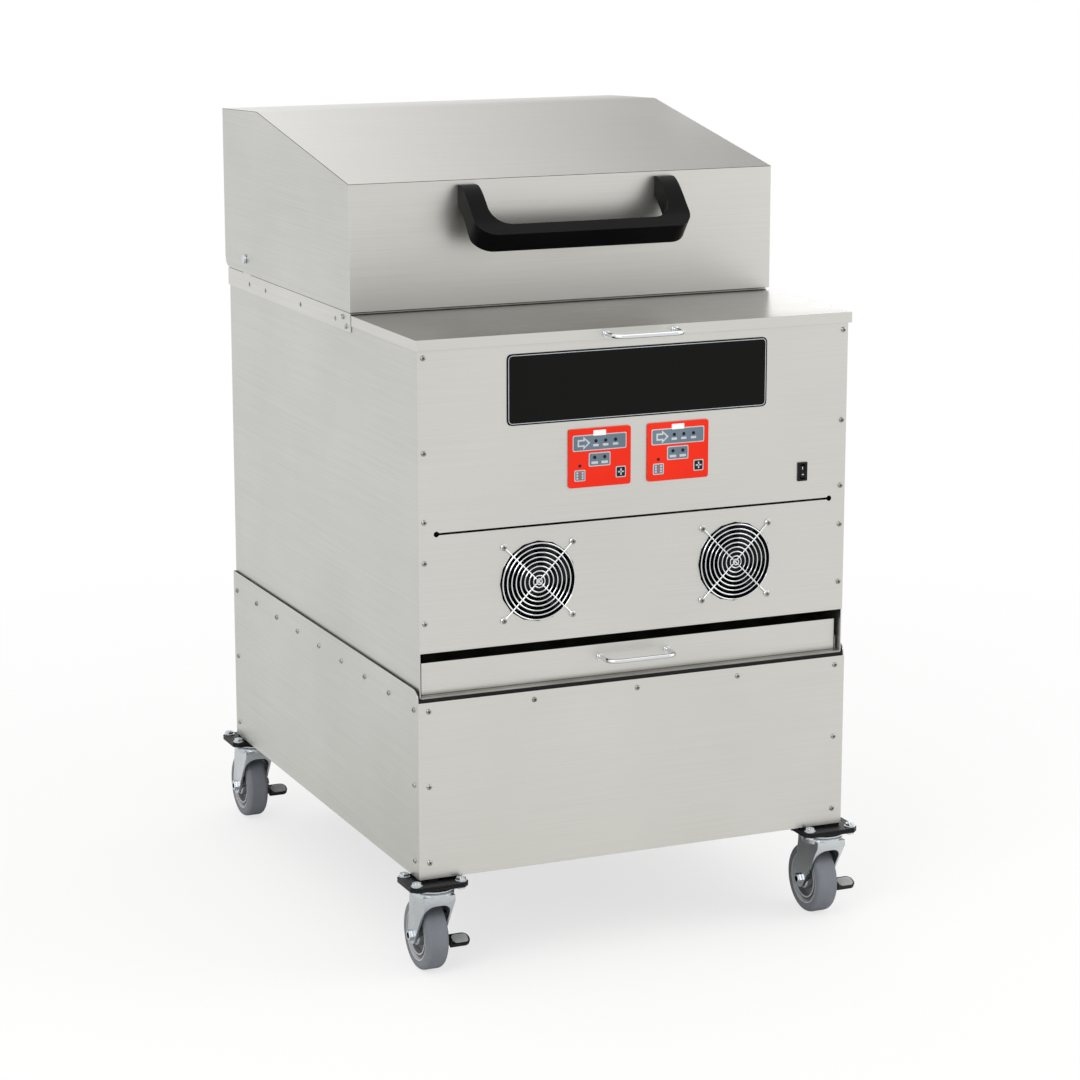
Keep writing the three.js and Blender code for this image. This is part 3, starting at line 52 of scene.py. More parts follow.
# Sizes below are in millimetres unless a name says otherwise
MM = 0.001
SIDES = ("left", "right")
CORNERS = [f"{end}_{side}" for end in ("front", "back") for side in SIDES]
BOTH_WAYS = [(x, y) for x in (-1, 1) for y in (-1, 1)]
BODY_OF = {n: body for body, members in record["behaviour"]["bodies"].items() for n in members}
RIGHTWARD, FORWARD, BACKWARD = (1.0, 0.0, 0.0), (0.0, -1.0, 0.0), (0.0, 1.0, 0.0)
UPWARD, DOWNWARD = (0.0, 0.0, 1.0), (0.0, 0.0, -1.0)
OUTWARD = {"left": (-1.0, 0.0, 0.0), "right": RIGHTWARD}
# The band that the hood closes on, in metres
RIM_LOW, RIM_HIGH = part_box("rim_band")


def middle_of(node):
    """The middle of a CAD node, in metres."""
    low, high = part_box(node)
    return (low + high) / 2


# Colours and nodes


def linear(code):
    """An sRGB hex colour as linear red, green, blue and alpha."""
    shares = [int(code[i : i + 2], 16) / 255 for i in (1, 3, 5)]
    return tuple(c / 12.92 if c <= 0.04045 else ((c + 0.055) / 1.055) ** 2.4 for c in shares) + (1.0,)


def add(tree, kind, *places, **named):
    """Adds a node to a tree. Names in small letters are its settings. Its inputs go by place, or by name with
    _ for a space: plain values, sockets, nodes whose first output is meant, or lists of these."""
    made = tree.nodes.new(kind)
    inputs = dict(enumerate(places))
    for name, value in named.items():
        if name.islower():
            setattr(made, name, value)
        else:
            inputs[name.replace("_", " ")] = value
    for key, value in inputs.items():
        for source in value if isinstance(value, list) else [value]:
            if isinstance(source, bpy.types.Node):
                source = source.outputs[0]
            if isinstance(source, bpy.types.NodeSocket):
                tree.links.new(source, made.inputs[key])
            else:
                made.inputs[key].default_value = source
    return made


def emptied(owner):
    """The node tree of a new material or world, empty."""
    owner.use_nodes = True
    owner.node_tree.nodes.clear()
    return owner.node_tree


def surface(tree, tint, light, dark, rough, bumps, depth, strength, metallic, sheen_level=0.5):
    """Ends a material in a Principled shader. tint goes from its light to its dark colour, depth is that of
    its bumps, and sheen_level is how strongly it mirrors the room."""
    colour = add(tree, "ShaderNodeMix", Factor=tint, A=linear(light), B=linear(dark), data_type="RGBA")
    relief = add(tree, "ShaderNodeBump", Height=bumps, Distance=depth * MM, Strength=strength)
    shader = add(tree, "ShaderNodeBsdfPrincipled", Base_Color=colour.outputs["Result"], Roughness=rough,
                 Metallic=metallic, Specular_IOR_Level=sheen_level, Normal=relief)
    add(tree, "ShaderNodeOutputMaterial", shader)


# Materials. Noise lies mostly between 0.3 and 0.7, and the sum of two about 1
NOISE_ROUGHNESS = 0.55
PATCH_SPAN = (0.3, 0.7)
TINT_SPAN = (0.65, 1.35)
ROUGH_SPAN = (0.7, 1.3)
FLAT_SPAN = (0.6, 0.8)
LINES_A_METRE_ALONG = 5.0
CLOUDS_A_METRE = 3.2


def brushed_stainless(name, light, dark, roughness, line_spacing=1.5):
    """Type 304 sheet with a straight brushed finish. The lines run level on upright faces and from side to
    side on flat ones; real ones are a tenth of a millimetre apart, so they are drawn coarser to show."""
    made = bpy.data.materials.new(name)
    tree = emptied(made)
    coords = add(tree, "ShaderNodeTexCoord").outputs
    place = add(tree, "ShaderNodeSeparateXYZ", coords["Object"]).outputs
    facing = add(tree, "ShaderNodeSeparateXYZ", coords["Normal"]).outputs["Z"]
    flatness = add(tree, "ShaderNodeMath", facing, operation="ABSOLUTE")
    across, along = 1 / (line_spacing * MM), LINES_A_METRE_ALONG
    up_rate = add(tree, "ShaderNodeMapRange", flatness, *FLAT_SPAN, across, along)
    back_rate = add(tree, "ShaderNodeMapRange", flatness, *FLAT_SPAN, along, across)
    rates = (("X", along), ("Y", back_rate), ("Z", up_rate))
    stretched = [add(tree, "ShaderNodeMath", place[axis], rate, operation="MULTIPLY") for axis, rate in rates]
    vector = add(tree, "ShaderNodeCombineXYZ", *stretched)
    lines = add(tree, "ShaderNodeTexNoise", Vector=vector, Scale=1.0, Detail=4.0, Roughness=NOISE_ROUGHNESS)
    clouds = add(tree, "ShaderNodeTexNoise", Vector=coords["Object"], Scale=CLOUDS_A_METRE, Detail=3.0,
                 Roughness=NOISE_ROUGHNESS)
    both = add(tree, "ShaderNodeMath", lines, clouds, operation="ADD")
    tint = add(tree, "ShaderNodeMapRange", both, *TINT_SPAN)
    rough = add(tree, "ShaderNodeMapRange", both, *ROUGH_SPAN, roughness - 0.04, roughness + 0.05)
    surface(tree, tint, light, dark, rough, lines, 0.04, 0.07, 1.0)
    return made


def patchy(name, light, dark, patches, roughness, grain, depth, strength, metallic=1.0, sheen_level=0.5):
    """A finish whose colour and roughness drift in patches over a fine grain. Patches and grain are each
    given as features in a metre and layers of detail."""
    made = bpy.data.materials.new(name)
    tree = emptied(made)
    place = add(tree, "ShaderNodeTexCoord").outputs["Object"]
    drift, bumps = [
        add(tree, "ShaderNodeTexNoise", Vector=place, Scale=rate, Detail=detail, Roughness=NOISE_ROUGHNESS)
        for rate, detail in (patches, grain)
    ]
    tint = add(tree, "ShaderNodeMapRange", drift, *PATCH_SPAN)
    rough = add(tree, "ShaderNodeMapRange", drift, *PATCH_SPAN, *roughness)
    surface(tree, tint, light, dark, rough, bumps, depth, strength, metallic, sheen_level)
    return made


def mill_stainless(name, light, dark, roughness):
    """Stainless as it leaves the mill, dull and even, with the faint stains of handling."""
    return patchy(name, light, dark, (9.0, 5.0), (roughness, roughness + 0.14), (700.0, 2.0), 0.03, 0.2)


def coated(name, light, dark, roughness, grain, depth, metallic=0.0, sheen_level=0.5):
    """Paint, plating or plastic with a fine skin: powder coat's orange peel, or the spark texture of a
    mould. grain is the size of its bumps."""
    ends = (roughness - 0.04, roughness + 0.06)
    skin = (1 / (grain * MM), 2.0)
    return patchy(name, light, dark, (14.0, 4.0), ends, skin, depth, 0.35, metallic, sheen_level)


def overlay(shade, light, dark, roughness=0.34, sheen_level=0.25):
    """Printed polyester film with a satin face."""
    return coated(f"polyester_overlay_{shade}", light, dark, roughness, 1.5, 0.02, sheen_level=sheen_level)


def cast_iron(name, light, dark):
    """Cast iron seasoned by fat and smoke: sand-cast grain, near black, with greasy and dry patches."""
    return patchy(name, light, dark, (22.0, 6.0), (0.45, 0.85), (650.0, 4.0), 0.25, 0.6, 0.6)


STAINLESS = brushed_stainless("stainless_304_brushed", "#cfcec9", "#c6c5c0", 0.34)
# A darker copy of the brushed steel for faces that look sideways, as painted shade.
STAINLESS_SHADED_SIDE = brushed_stainless("stainless_304_brushed_painted_side_shade", "#c6c6c2", "#bdbdb9", 0.38)
# A darker copy of the brushed steel for the lid's top, as painted shade: the dark reflection of the hood front
# above it.
STAINLESS_LID_SHADED = brushed_stainless("stainless_304_brushed_lid_painted_shade", "#8b8a85", "#807f7a", 0.3, 1.3)
# Near black steel for painted shade lines: along the hood's folds, and on the base side panels' top edges where
# the gap above them lies in shadow.
STAINLESS_SHADE_LINE = mill_stainless("stainless_304_painted_shade_line", "#5a5955", "#4a4946", 0.45)
STAINLESS_MILL = mill_stainless("stainless_304_mill", "#a6a5a0", "#7e7c77", 0.42)
STAINLESS_SMOKED = mill_stainless("stainless_304_smoked", "#6e675c", "#3a342c", 0.5)
POWDER_BLACK = coated("powder_coat_black", "#101113", "#0a0b0c", 0.42, 1.2, 0.08, sheen_level=0.2)
ABS_BLACK = coated("abs_black_moulded", "#0e0f10", "#090a0a", 0.38, 0.8, 0.04, sheen_level=0.2)
NYLON_BLACK = coated("nylon_black_handle", "#070708", "#040405", 0.3, 0.9, 0.03, sheen_level=0.06)
ACRYLIC_BLACK = coated("acrylic_black_plate", "#0a0a09", "#070706", 0.2, 6.0, 0.01, sheen_level=0.11)
POLYESTER_RED = overlay("red", "#ee2a06", "#e42302")
POLYESTER_BLUE_GREY = overlay("blue_grey", "#6c7c88", "#5f6e7a", 0.32)
POLYESTER_PALE = overlay("pale", "#c6ccd0", "#b6bcc1")
POLYESTER_WHITE = overlay("white", "#f4f4f2", "#e9e9e6", sheen_level=0.5)
POLYESTER_DARK = overlay("dark", "#16181b", "#0f1113", 0.3, 0.2)
POLYESTER_RUST = overlay("rust", "#b06a5e", "#a36055", 0.32)
ZINC = coated("zinc_plating_bright", "#d3d7da", "#bcc1c6", 0.24, 3.0, 0.02, metallic=1.0)
# The screw heads' own steel, darkened as painted shade round each head.
STEEL_SCREW = coated("stainless_screw_head_painted_shade", "#a3a39f", "#7d7c78", 0.3, 1.0, 0.02, metallic=1.0)
RECESS_DARK = coated("screw_recess_shadow", "#171716", "#0f0f0e", 0.7, 1.0, 0.02, sheen_level=0.2)
CHROME = coated("chrome_plated_wire", "#e0e2e3", "#cdd0d2", 0.12, 4.0, 0.01, metallic=1.0)
RUBBER_GREY = coated("thermoplastic_rubber_grey", "#797c83", "#6b6e74", 0.62, 1.4, 0.08, sheen_level=0.3)
CORE_GREY = coated("polypropylene_core_grey", "#b9bbbc", "#a6a8aa", 0.4, 1.2, 0.04)
# A darker copy of the core for its recess round the hub, as painted shade.
CORE_SHADED = coated("polypropylene_core_painted_recess_shade", "#6d6f73", "#5b5d61", 0.5, 1.2, 0.04)
PAD_GREY = coated("brake_pad_grey", "#a9aaaa", "#8e8f8f", 0.5, 1.0, 0.1)
IRON = cast_iron("cast_iron_seasoned", "#34322f", "#1b1a19")


# Meshes


def placed(name, data):
    """A new object in the scene."""
    made = bpy.data.objects.new(name, data)
    bpy.context.scene.collection.objects.link(made)
    return made


def finished(name, bm, node, *materials, slot_name=None, sharp=35):
    """Turns a bmesh in metres into a piece that rides with a CAD node, smooth but for its sharp edges."""
    mesh = bpy.data.meshes.new(name)
    bm.to_mesh(mesh)
    bm.free()
    mesh.polygons.foreach_set("use_smooth", [True] * len(mesh.polygons))
    mesh.set_sharp_from_angle(angle=radians(sharp))
    for material in materials:
        mesh.materials.append(material)
    piece = placed(name, mesh)
    piece.modifiers.new("even_shading", "WEIGHTED_NORMAL").keep_sharp = True
    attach(piece, BODY_OF[node])
    return piece


def instead(name, bm, node, *materials, sharp=35):
    """A finished piece that takes the CAD node's place."""
    piece = finished(name, bm, node, *materials, sharp=sharp)
    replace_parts(piece, node)
    return piece


def soften(bm, width, segments=2, angle=30):
    """Rounds every edge that turns more than an angle."""
    edges = [e for e in bm.edges if e.is_manifold and e.calc_face_angle(0.0) > radians(angle)]
    bmesh.ops.bevel(bm, geom=edges, offset=width * MM, offset_type="OFFSET", segments=segments, profile=0.5,
                    affect="EDGES", clamp_overlap=True)


def merged_copy(node):
    """The solid of a CAD node with its faces joined up again."""
    bm = bmesh.new()
    bm.from_mesh(nodes[node].data)
    bmesh.ops.remove_doubles(bm, verts=bm.verts, dist=0.005 * MM)
    bmesh.ops.dissolve_limit(bm, angle_limit=radians(0.5), verts=bm.verts, edges=bm.edges)
    return bm


def dressed(node, made_of, material, width=0.5, segments=2, angle=30):
    """A CAD node's own shape with its edges rounded, as the folded or moulded piece that it is."""
    bm = merged_copy(node)
    soften(bm, width, segments, angle)
    return instead(f"{node}_{made_of}", bm, node, material)


def turns(count):
    """Angles that share out a whole turn."""
    return [2 * pi * i / count for i in range(count)]


def arc(u, v, radius, angles):
    """Points on a circle."""
    return [(u + radius * cos(a), v + radius * sin(a)) for a in angles]


def loop_of(bm, points):
    return [bm.verts.new(p) for p in points]


def bridge(bm, lower, upper, index=0):
    """Faces between two rings, either of which may be a single point."""
    low, high = len(lower), len(upper)
    count = max(low, high)
    for i in range(count if count > 1 else 0):
        j = (i + 1) % count
        corners = (lower[i % low], lower[j % low], upper[j % high], upper[i % high])
        bm.faces.new(list(dict.fromkeys(corners))).material_index = index


def lathe(bm, profile, centre, axis, steps=64, index=0):
    """Turns a closed profile of (radius, height) round an axis through a centre in metres."""
    place = Matrix.Translation(centre) @ Vector(axis).to_track_quat("Z", "Y").to_matrix().to_4x4()
    rings = []
    for radius, height in profile:
        ring = arc(0, 0, radius * MM, turns(steps if radius else 1))
        rings.append(loop_of(bm, [place @ Vector((x, y, height * MM)) for x, y in ring]))
    for first, second in zip(rings, rings[1:]):
        bridge(bm, first, second, index)
    if len(rings[0]) > 1:
        bridge(bm, rings[-1], rings[0], index)
    return bm


def outward(bm):
    """Turns all faces outwards."""
    bmesh.ops.recalc_face_normals(bm, faces=bm.faces)
    return bm


def prism(bm, outline, start, end, frame_of, index=0):
    """A solid between two copies of an outline. frame_of turns (u, v, w) into metres."""
    low, high = [loop_of(bm, [frame_of(u, v, w) for u, v in outline]) for w in (start, end)]
    bridge(bm, low, high, index)
    for ring in (low, high):
        bm.faces.new(ring).material_index = index
    return bm


def tube(bm, points, radius, sides=16):
    """A round bar through points in metres, with closed ends."""
    across = (points[1] - points[0]).normalized().orthogonal().normalized()
    rings = []
    for i, point in enumerate(points):
        way = (points[min(i + 1, len(points) - 1)] - points[max(i - 1, 0)]).normalized()
        across = (across - way * across.dot(way)).normalized()
        up = way.cross(across)
        spokes = [across * cos(a) + up * sin(a) for a in turns(sides)]
        rings.append(loop_of(bm, [point + spoke * radius * MM for spoke in spokes]))
    for low, high in zip(rings, rings[1:]):
        bridge(bm, low, high)
    bm.faces.new(rings[0][::-1])
    bm.faces.new(rings[-1])
    return bm


def quarter(u, v, radius, start, steps):
    """Points on a quarter of a circle, from a start in degrees."""
    return arc(u, v, radius, [radians(start + 90 * i / steps) for i in range(steps + 1)])


def rounded(u0, u1, v0, v1, radius, steps=6):
    """A rectangle with round corners, anticlockwise."""
    left, right, low, high = u0 + radius, u1 - radius, v0 + radius, v1 - radius
    centres = ((right, low, -90), (right, high, 0), (left, high, 90), (left, low, 180))
    return [p for u, v, start in centres for p in quarter(u, v, radius, start, steps)]


def front_frame(x, y, z):
    """Outline (across, up) and depth outwards from a place on the front, in metres."""
    return lambda u, v, w: Vector((x + u * MM, y - w * MM, z + v * MM))


def side_frame(x, y, z):
    """Outline (back, up) and depth to the right."""
    return lambda u, v, w: Vector((x + w * MM, y + u * MM, z + v * MM))


def turned_frame(matrix):
    """Outline and depth in a frame that a matrix turns and moves."""
    return lambda u, v, w: matrix @ (Vector((u, v, w)) * MM)


def evaluated(piece):
    """A new mesh of what an object's modifiers give."""
    graph = bpy.context.evaluated_depsgraph_get()
    return bpy.data.meshes.new_from_object(piece.evaluated_get(graph), depsgraph=graph)


def carved(bm, tool, operation):
    """bm after a boolean with another bmesh."""
    shapes = []
    for shape in (bm, tool):
        shapes.append(placed("carving", bpy.data.meshes.new("carving")))
        outward(shape).to_mesh(shapes[-1].data)
        shape.free()
    step = shapes[0].modifiers.new("carve", "BOOLEAN")
    step.operation = operation
    step.object = shapes[1]
    step.solver = "EXACT"
    result = evaluated(shapes[0])
    out = bmesh.new()
    out.from_mesh(result)
    meshes = [made.data for made in shapes] + [result]
    for made in shapes:
        bpy.data.objects.remove(made)
    for mesh in meshes:
        bpy.data.meshes.remove(mesh)
    return out


# Geometry Nodes


def new_tree(name, **sizes):
    """A geometry tree with a mesh input and named sizes in metres, as (socket kind, value)."""
    tree = bpy.data.node_groups.new(name, "GeometryNodeTree")
    for way in ("INPUT", "OUTPUT"):
        tree.interface.new_socket("Geometry", in_out=way, socket_type="NodeSocketGeometry")
    for label, (kind, value) in sizes.items():
        made = tree.interface.new_socket(label, in_out="INPUT", socket_type=f"NodeSocket{kind}")
        made.default_value = value
    return tree, add(tree, "NodeGroupInput").outputs


def close_tree(tree, geometry):
    """Ends a tree in Realize Instances, since the export drops instances."""
    add(tree, "NodeGroupOutput", add(tree, "GeometryNodeRealizeInstances", geometry))


def aimed_copies(tree, given, parts, turn):
    """The joined parts on each point, aimed along Direction and turned about it at random, up to an angle."""
    spin = add(tree, "FunctionNodeRandomValue", (0.0, 0.0, 0.0), (0.0, 0.0, turn), Seed=given["Seed"],
               data_type="FLOAT_VECTOR")
    turned = add(tree, "FunctionNodeEulerToRotation", spin)
    aimed = add(tree, "FunctionNodeAlignRotationToVector", Rotation=turned, Vector=given["Direction"],
                axis="Z")
    whole = add(tree, "GeometryNodeJoinGeometry", parts)
    return add(tree, "GeometryNodeInstanceOnPoints", Points=given["Geometry"], Instance=whole, Rotation=aimed)


# A screw's domed head narrows by a share of its radius, with a power of the height. Its cross is two bars,
# each as shares of the head's radius, radius and height
HEAD_FALL_SHARE = 0.42
HEAD_FALL_POWER = 2.6
CROSS_SHARES = ((0.95, 0.26, 0.06), (0.26, 0.95, 0.06))
# A washer and a nut: sides, then shares of the nut's radius and height. The stud's end has such shares too
NUT_SHARES = ((32, 1.18, 0.2), (6, 1.0, 1.0))
STUD_SHARES = (0.5, 1.25)


def screw_tree():
    """Pan head screws with a cross recess, one on each point."""
    tree, given = new_tree("pan_head_screws", Radius=("Float", 4 * MM), Height=("Float", 1.8 * MM),
                           Direction=("Vector", FORWARD), Seed=("Int", 3))
    size = add(tree, "ShaderNodeCombineXYZ", given["Radius"], given["Radius"], given["Height"])
    top = add(tree, "ShaderNodeVectorMath", size, UPWARD, operation="MULTIPLY")
    line = add(tree, "GeometryNodeCurvePrimitiveLine", End=top)
    stations = add(tree, "GeometryNodeResampleCurve", Curve=line, Count=6)
    along = add(tree, "GeometryNodeSplineParameter").outputs["Factor"]
    fall = add(tree, "ShaderNodeMath", along, HEAD_FALL_POWER, operation="POWER")
    share = add(tree, "ShaderNodeMath", fall, -HEAD_FALL_SHARE, 1.0, operation="MULTIPLY_ADD")
    radius = add(tree, "ShaderNodeMath", given["Radius"], share, operation="MULTIPLY")
    ring = add(tree, "GeometryNodeCurvePrimitiveCircle", Resolution=20, Radius=1.0)
    head = add(tree, "GeometryNodeCurveToMesh", Curve=stations, Profile_Curve=ring, Scale=radius,
               Fill_Caps=True)
    head = add(tree, "GeometryNodeSetShadeSmooth", head)
    parts = [add(tree, "GeometryNodeSetMaterial", Geometry=head, Material=STEEL_SCREW)]
    for shares in CROSS_SHARES:
        bar_size = add(tree, "ShaderNodeVectorMath", size, shares, operation="MULTIPLY")
        bar = add(tree, "GeometryNodeMeshCube", bar_size)
        bar = add(tree, "GeometryNodeTransform", Geometry=bar, Translation=top)
        parts.append(add(tree, "GeometryNodeSetMaterial", Geometry=bar, Material=RECESS_DARK))
    close_tree(tree, aimed_copies(tree, given, parts, pi))
    return tree


def nut_tree():
    """Hex nuts or bolt heads, each on its washer with the stud's end through it, one on each point."""
    tree, given = new_tree("hex_heads_on_washers", Radius=("Float", 7 * MM), Height=("Float", 5 * MM),
                           Direction=("Vector", UPWARD), Seed=("Int", 5))
    size = add(tree, "ShaderNodeCombineXYZ", given["Radius"], given["Radius"], given["Height"])
    parts = []
    for sides, wide, tall in NUT_SHARES:
        radius = add(tree, "ShaderNodeMath", given["Radius"], wide, operation="MULTIPLY")
        height = add(tree, "ShaderNodeMath", given["Height"], tall, operation="MULTIPLY")
        part = add(tree, "GeometryNodeMeshCylinder", Vertices=sides, Radius=radius, Depth=height)
        lift = add(tree, "ShaderNodeVectorMath", size, (0.0, 0.0, tall / 2), operation="MULTIPLY")
        parts.append(add(tree, "GeometryNodeTransform", Geometry=part, Translation=lift))
    wide, tall = STUD_SHARES
    end = add(tree, "ShaderNodeVectorMath", size, (0.0, 0.0, tall), operation="MULTIPLY")
    stud = add(tree, "GeometryNodeCurvePrimitiveLine", End=end)
    radius = add(tree, "ShaderNodeMath", given["Radius"], wide, operation="MULTIPLY")
    ring = add(tree, "GeometryNodeCurvePrimitiveCircle", Resolution=20, Radius=radius)
    parts.append(add(tree, "GeometryNodeCurveToMesh", Curve=stud, Profile_Curve=ring, Fill_Caps=True))
    copies = aimed_copies(tree, given, parts, pi / 3)
    close_tree(tree, add(tree, "GeometryNodeSetMaterial", Geometry=copies, Material=ZINC))
    return tree


def guard_tree():
    """Rings of wire about each point, all in the plane that faces the front."""
    tree, given = new_tree("guard_rings", Rings=("Int", 8), Outer=("Float", 54 * MM),
                           Inner=("Float", 8.5 * MM), Wire=("Float", 0.95 * MM))
    index = add(tree, "GeometryNodeInputIndex")
    last = add(tree, "ShaderNodeMath", given["Rings"], 1.0, operation="SUBTRACT")
    radius = add(tree, "ShaderNodeMapRange", index, 0.0, last, given["Inner"], given["Outer"])
    row = add(tree, "GeometryNodeMeshLine", Count=given["Rings"], Offset=(0.0, 0.0, 0.0))
    ring = add(tree, "GeometryNodeCurvePrimitiveCircle", Resolution=72, Radius=1.0)
    rings = add(tree, "GeometryNodeInstanceOnPoints", Points=row, Instance=ring, Scale=radius)
    rings = add(tree, "GeometryNodeRealizeInstances", rings)
    profile = add(tree, "GeometryNodeCurvePrimitiveCircle", Resolution=10, Radius=given["Wire"])
    wires = add(tree, "GeometryNodeCurveToMesh", Curve=rings, Profile_Curve=profile)
    wires = add(tree, "GeometryNodeSetShadeSmooth", wires)
    upright = add(tree, "GeometryNodeTransform", Geometry=wires, Rotation=(pi / 2, 0.0, 0.0))
    copies = add(tree, "GeometryNodeInstanceOnPoints", Points=given["Geometry"], Instance=upright)
    close_tree(tree, add(tree, "GeometryNodeSetMaterial", Geometry=copies, Material=CHROME))
    return tree


def grown(name, tree, points, slot_name, **values):
    """Runs a tree on points in metres, and keeps the result as a plain mesh that rides on the cabinet."""
    seeds = bpy.data.meshes.new(name + "_points")
    seeds.from_pydata([tuple(p) for p in points], [], [])
    piece = placed(name, seeds)
    growth = piece.modifiers.new("growth", "NODES")
    growth.node_group = tree
    for item in tree.interface.items_tree:
        if item.in_out == "INPUT" and item.name in values:
            growth[item.identifier] = values[item.name]
    mesh = evaluated(piece)
    mesh.name = name
    mesh.set_sharp_from_angle(angle=radians(35))
    piece.modifiers.remove(growth)
    piece.data = mesh
    bpy.data.meshes.remove(seeds)
    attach(piece, "cabinet")
    return piece


SCREWS = screw_tree()
NUTS = nut_tree()
GUARD = guard_tree()
STEEL_SLOT = "brushed stainless"
ZINC_SLOT = "bright zinc"


# Sheet metal


def paint_top_shade(piece, material):
    """Gives the faces that look up another material, which paints shade on them: a shadow line on the base side
    panels' tops and a darker reflection on the lid.
    """
    piece.data.materials.append(material)
    for face in piece.data.polygons:
        face.material_index = int(face.normal.z > 0.6)


def panels():
    """The folded sheets, each in its steel, with painted shade: a darker copy of the steel on the side panels
    and the lid's top, and near black on the base side panels' top edges.
    """
    for node in ("base_front_panel", "front_panel", "back_panel", "base_back_panel", "drawer_pan",
                 "rim_band"):
        dressed(node, "sheet", STAINLESS, 0.45)
    for side in SIDES:
        # The side panels take the darker steel, as painted shade.
        dressed(f"{side}_side_panel", "sheet", STAINLESS_SHADED_SIDE, 0.45)
        # The base side panels' top faces are near black, as a painted shadow of the gap above them.
        paint_top_shade(dressed(f"base_{side}_panel", "sheet", STAINLESS_SHADED_SIDE, 0.3), STAINLESS_SHADE_LINE)
    # The lid's top takes the darker lid steel, as a painted darker reflection.
    paint_top_shade(dressed("hopper_lid", "sheet", STAINLESS, 0.6, 3), STAINLESS_LID_SHADED)
    for node in ("drawer_deck", "hopper_bin"):
        dressed(node, "sheet", STAINLESS_MILL, 0.4)
    for node in ("cook_box", "heat_deflector"):
        dressed(node, "sheet", STAINLESS_SMOKED)
    dressed("base_frame", "angles", POWDER_BLACK)


# The hood's folds, painted dark as shade lines: how far up their faces look, as shares, and how high above its
# edge they start
SHADED_FOLD_UP_SHARES = (0.1, 0.97)
SHADED_FOLDS_ABOVE = 165


def hood():
    """The hood's shell: the slope and the front are one sheet, the sides another. The sides take a darker copy
    of the steel as painted shade, and the folds between are painted near black as shade lines.
    """
    bm = merged_copy("hood_shell")
    soften(bm, 0.9, 3)
    piece = instead("hood_cover", bm, "hood_shell", STAINLESS, STAINLESS_SHADED_SIDE, STAINLESS_SHADE_LINE)
    low_share, high_share = SHADED_FOLD_UP_SHARES
    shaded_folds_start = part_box("hood_shell")[0].z + SHADED_FOLDS_ABOVE * MM
    # Fold faces take the near black steel as painted shade lines, and sideways faces take the darker steel as
    # painted shade.
    for face in piece.data.polygons:
        if low_share < face.normal.z < high_share and face.center.z > shaded_folds_start:
            face.material_index = 2
        elif abs(face.normal.x) > 0.7:
            face.material_index = 1


# Size of the hood's handle, a bar bent to a slanting bow. Its slant is in degrees
GRIP_SLANT = 38
GRIP_WIDTH = 20
GRIP_THICKNESS = 33
GRIP_CORNER = 30
GRIP_OVERRUN = 5
HANDLE_LEG = 27
HANDLE_FOOT_HEIGHT = 29
HANDLE_FOOT_REACH = 6
HANDLE_KNEE = 20
HANDLE_UNDER_KNEE = 12
HANDLE_ELBOW = 22
HANDLE_UNDER_ELBOW = 8
HANDLE_INNER_CORNER = 32
HANDLE_EDGE = 2.2


def bend(first, leave, arrive, last, steps=18):
    """Points on a cubic bend between two places, without the first."""
    points = []
    for i in range(1, steps + 1):
        t = i / steps
        shares = ((1 - t) ** 3, 3 * t * (1 - t) ** 2, 3 * t**2 * (1 - t), t**3)
        corners = list(zip(shares, (first, leave, arrive, last)))
        points.append(tuple(sum(share * p[k] for share, p in corners) for k in (0, 1)))
    return points


def hood_handle():
    """A black bar that arches out from the hood and down, its grip and two legs one slanting bow."""
    low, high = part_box("hood_handle")
    half, reach, drop = (high.x - low.x) / 2 / MM, (high.y - low.y) / MM, (high.z - low.z) / MM
    root = Vector(((low.x + high.x) / 2, high.y, high.z))
    run, rise = cos(radians(GRIP_SLANT)), sin(radians(GRIP_SLANT))
    front = (-reach, -drop + GRIP_THICKNESS * run)

    def at(back, below):
        return front[0] + back * run + below * rise, front[1] + back * rise - below * run

    start, end = (-HANDLE_FOOT_REACH, 0), (0, -HANDLE_FOOT_HEIGHT)
    knee, under_knee = (-HANDLE_FOOT_REACH - HANDLE_KNEE, 0), (-HANDLE_UNDER_KNEE, -HANDLE_FOOT_HEIGHT)
    elbow, under_elbow = at(GRIP_WIDTH + HANDLE_ELBOW, 0), at(GRIP_WIDTH + HANDLE_UNDER_ELBOW, GRIP_THICKNESS)
    outline = [(0, 0), start, *bend(start, knee, elbow, at(GRIP_WIDTH, 0))]
    outline += [at(-GRIP_OVERRUN, 0), at(-GRIP_OVERRUN, GRIP_THICKNESS), at(GRIP_WIDTH, GRIP_THICKNESS)]
    outline += bend(outline[-1], under_elbow, under_knee, end)
    strip = prism(bmesh.new(), outline, -half, half, side_frame(*root))
    slant = Matrix.Rotation(radians(GRIP_SLANT), 4, "X")
    slanted = turned_frame(Matrix.Translation(root + Vector((0, *front)) * MM) @ slant)
    inner = half - HANDLE_LEG
    for wide, near, corner, operation in (
        (half, 0, GRIP_CORNER, "INTERSECT"),
        (inner, GRIP_WIDTH, HANDLE_INNER_CORNER, "DIFFERENCE"),
    ):
        bow = rounded(-wide, wide, near, 2 * drop, corner, 14)
        strip = carved(strip, prism(bmesh.new(), bow, -drop, drop, slanted), operation)
    bmesh.ops.dissolve_limit(strip, angle_limit=radians(0.5), verts=strip.verts, edges=strip.edges)
    soften(strip, HANDLE_EDGE, 4, 40)
    instead("hood_handle_bow", strip, "hood_handle", NYLON_BLACK, sharp=50)


PULL_BEND = 14
# The collar at a pull's foot: outwards from the wire, and height
PULL_COLLAR = ((0.2, 0), (2.2, 0), (1.8, 1.4), (0.2, 1.8))


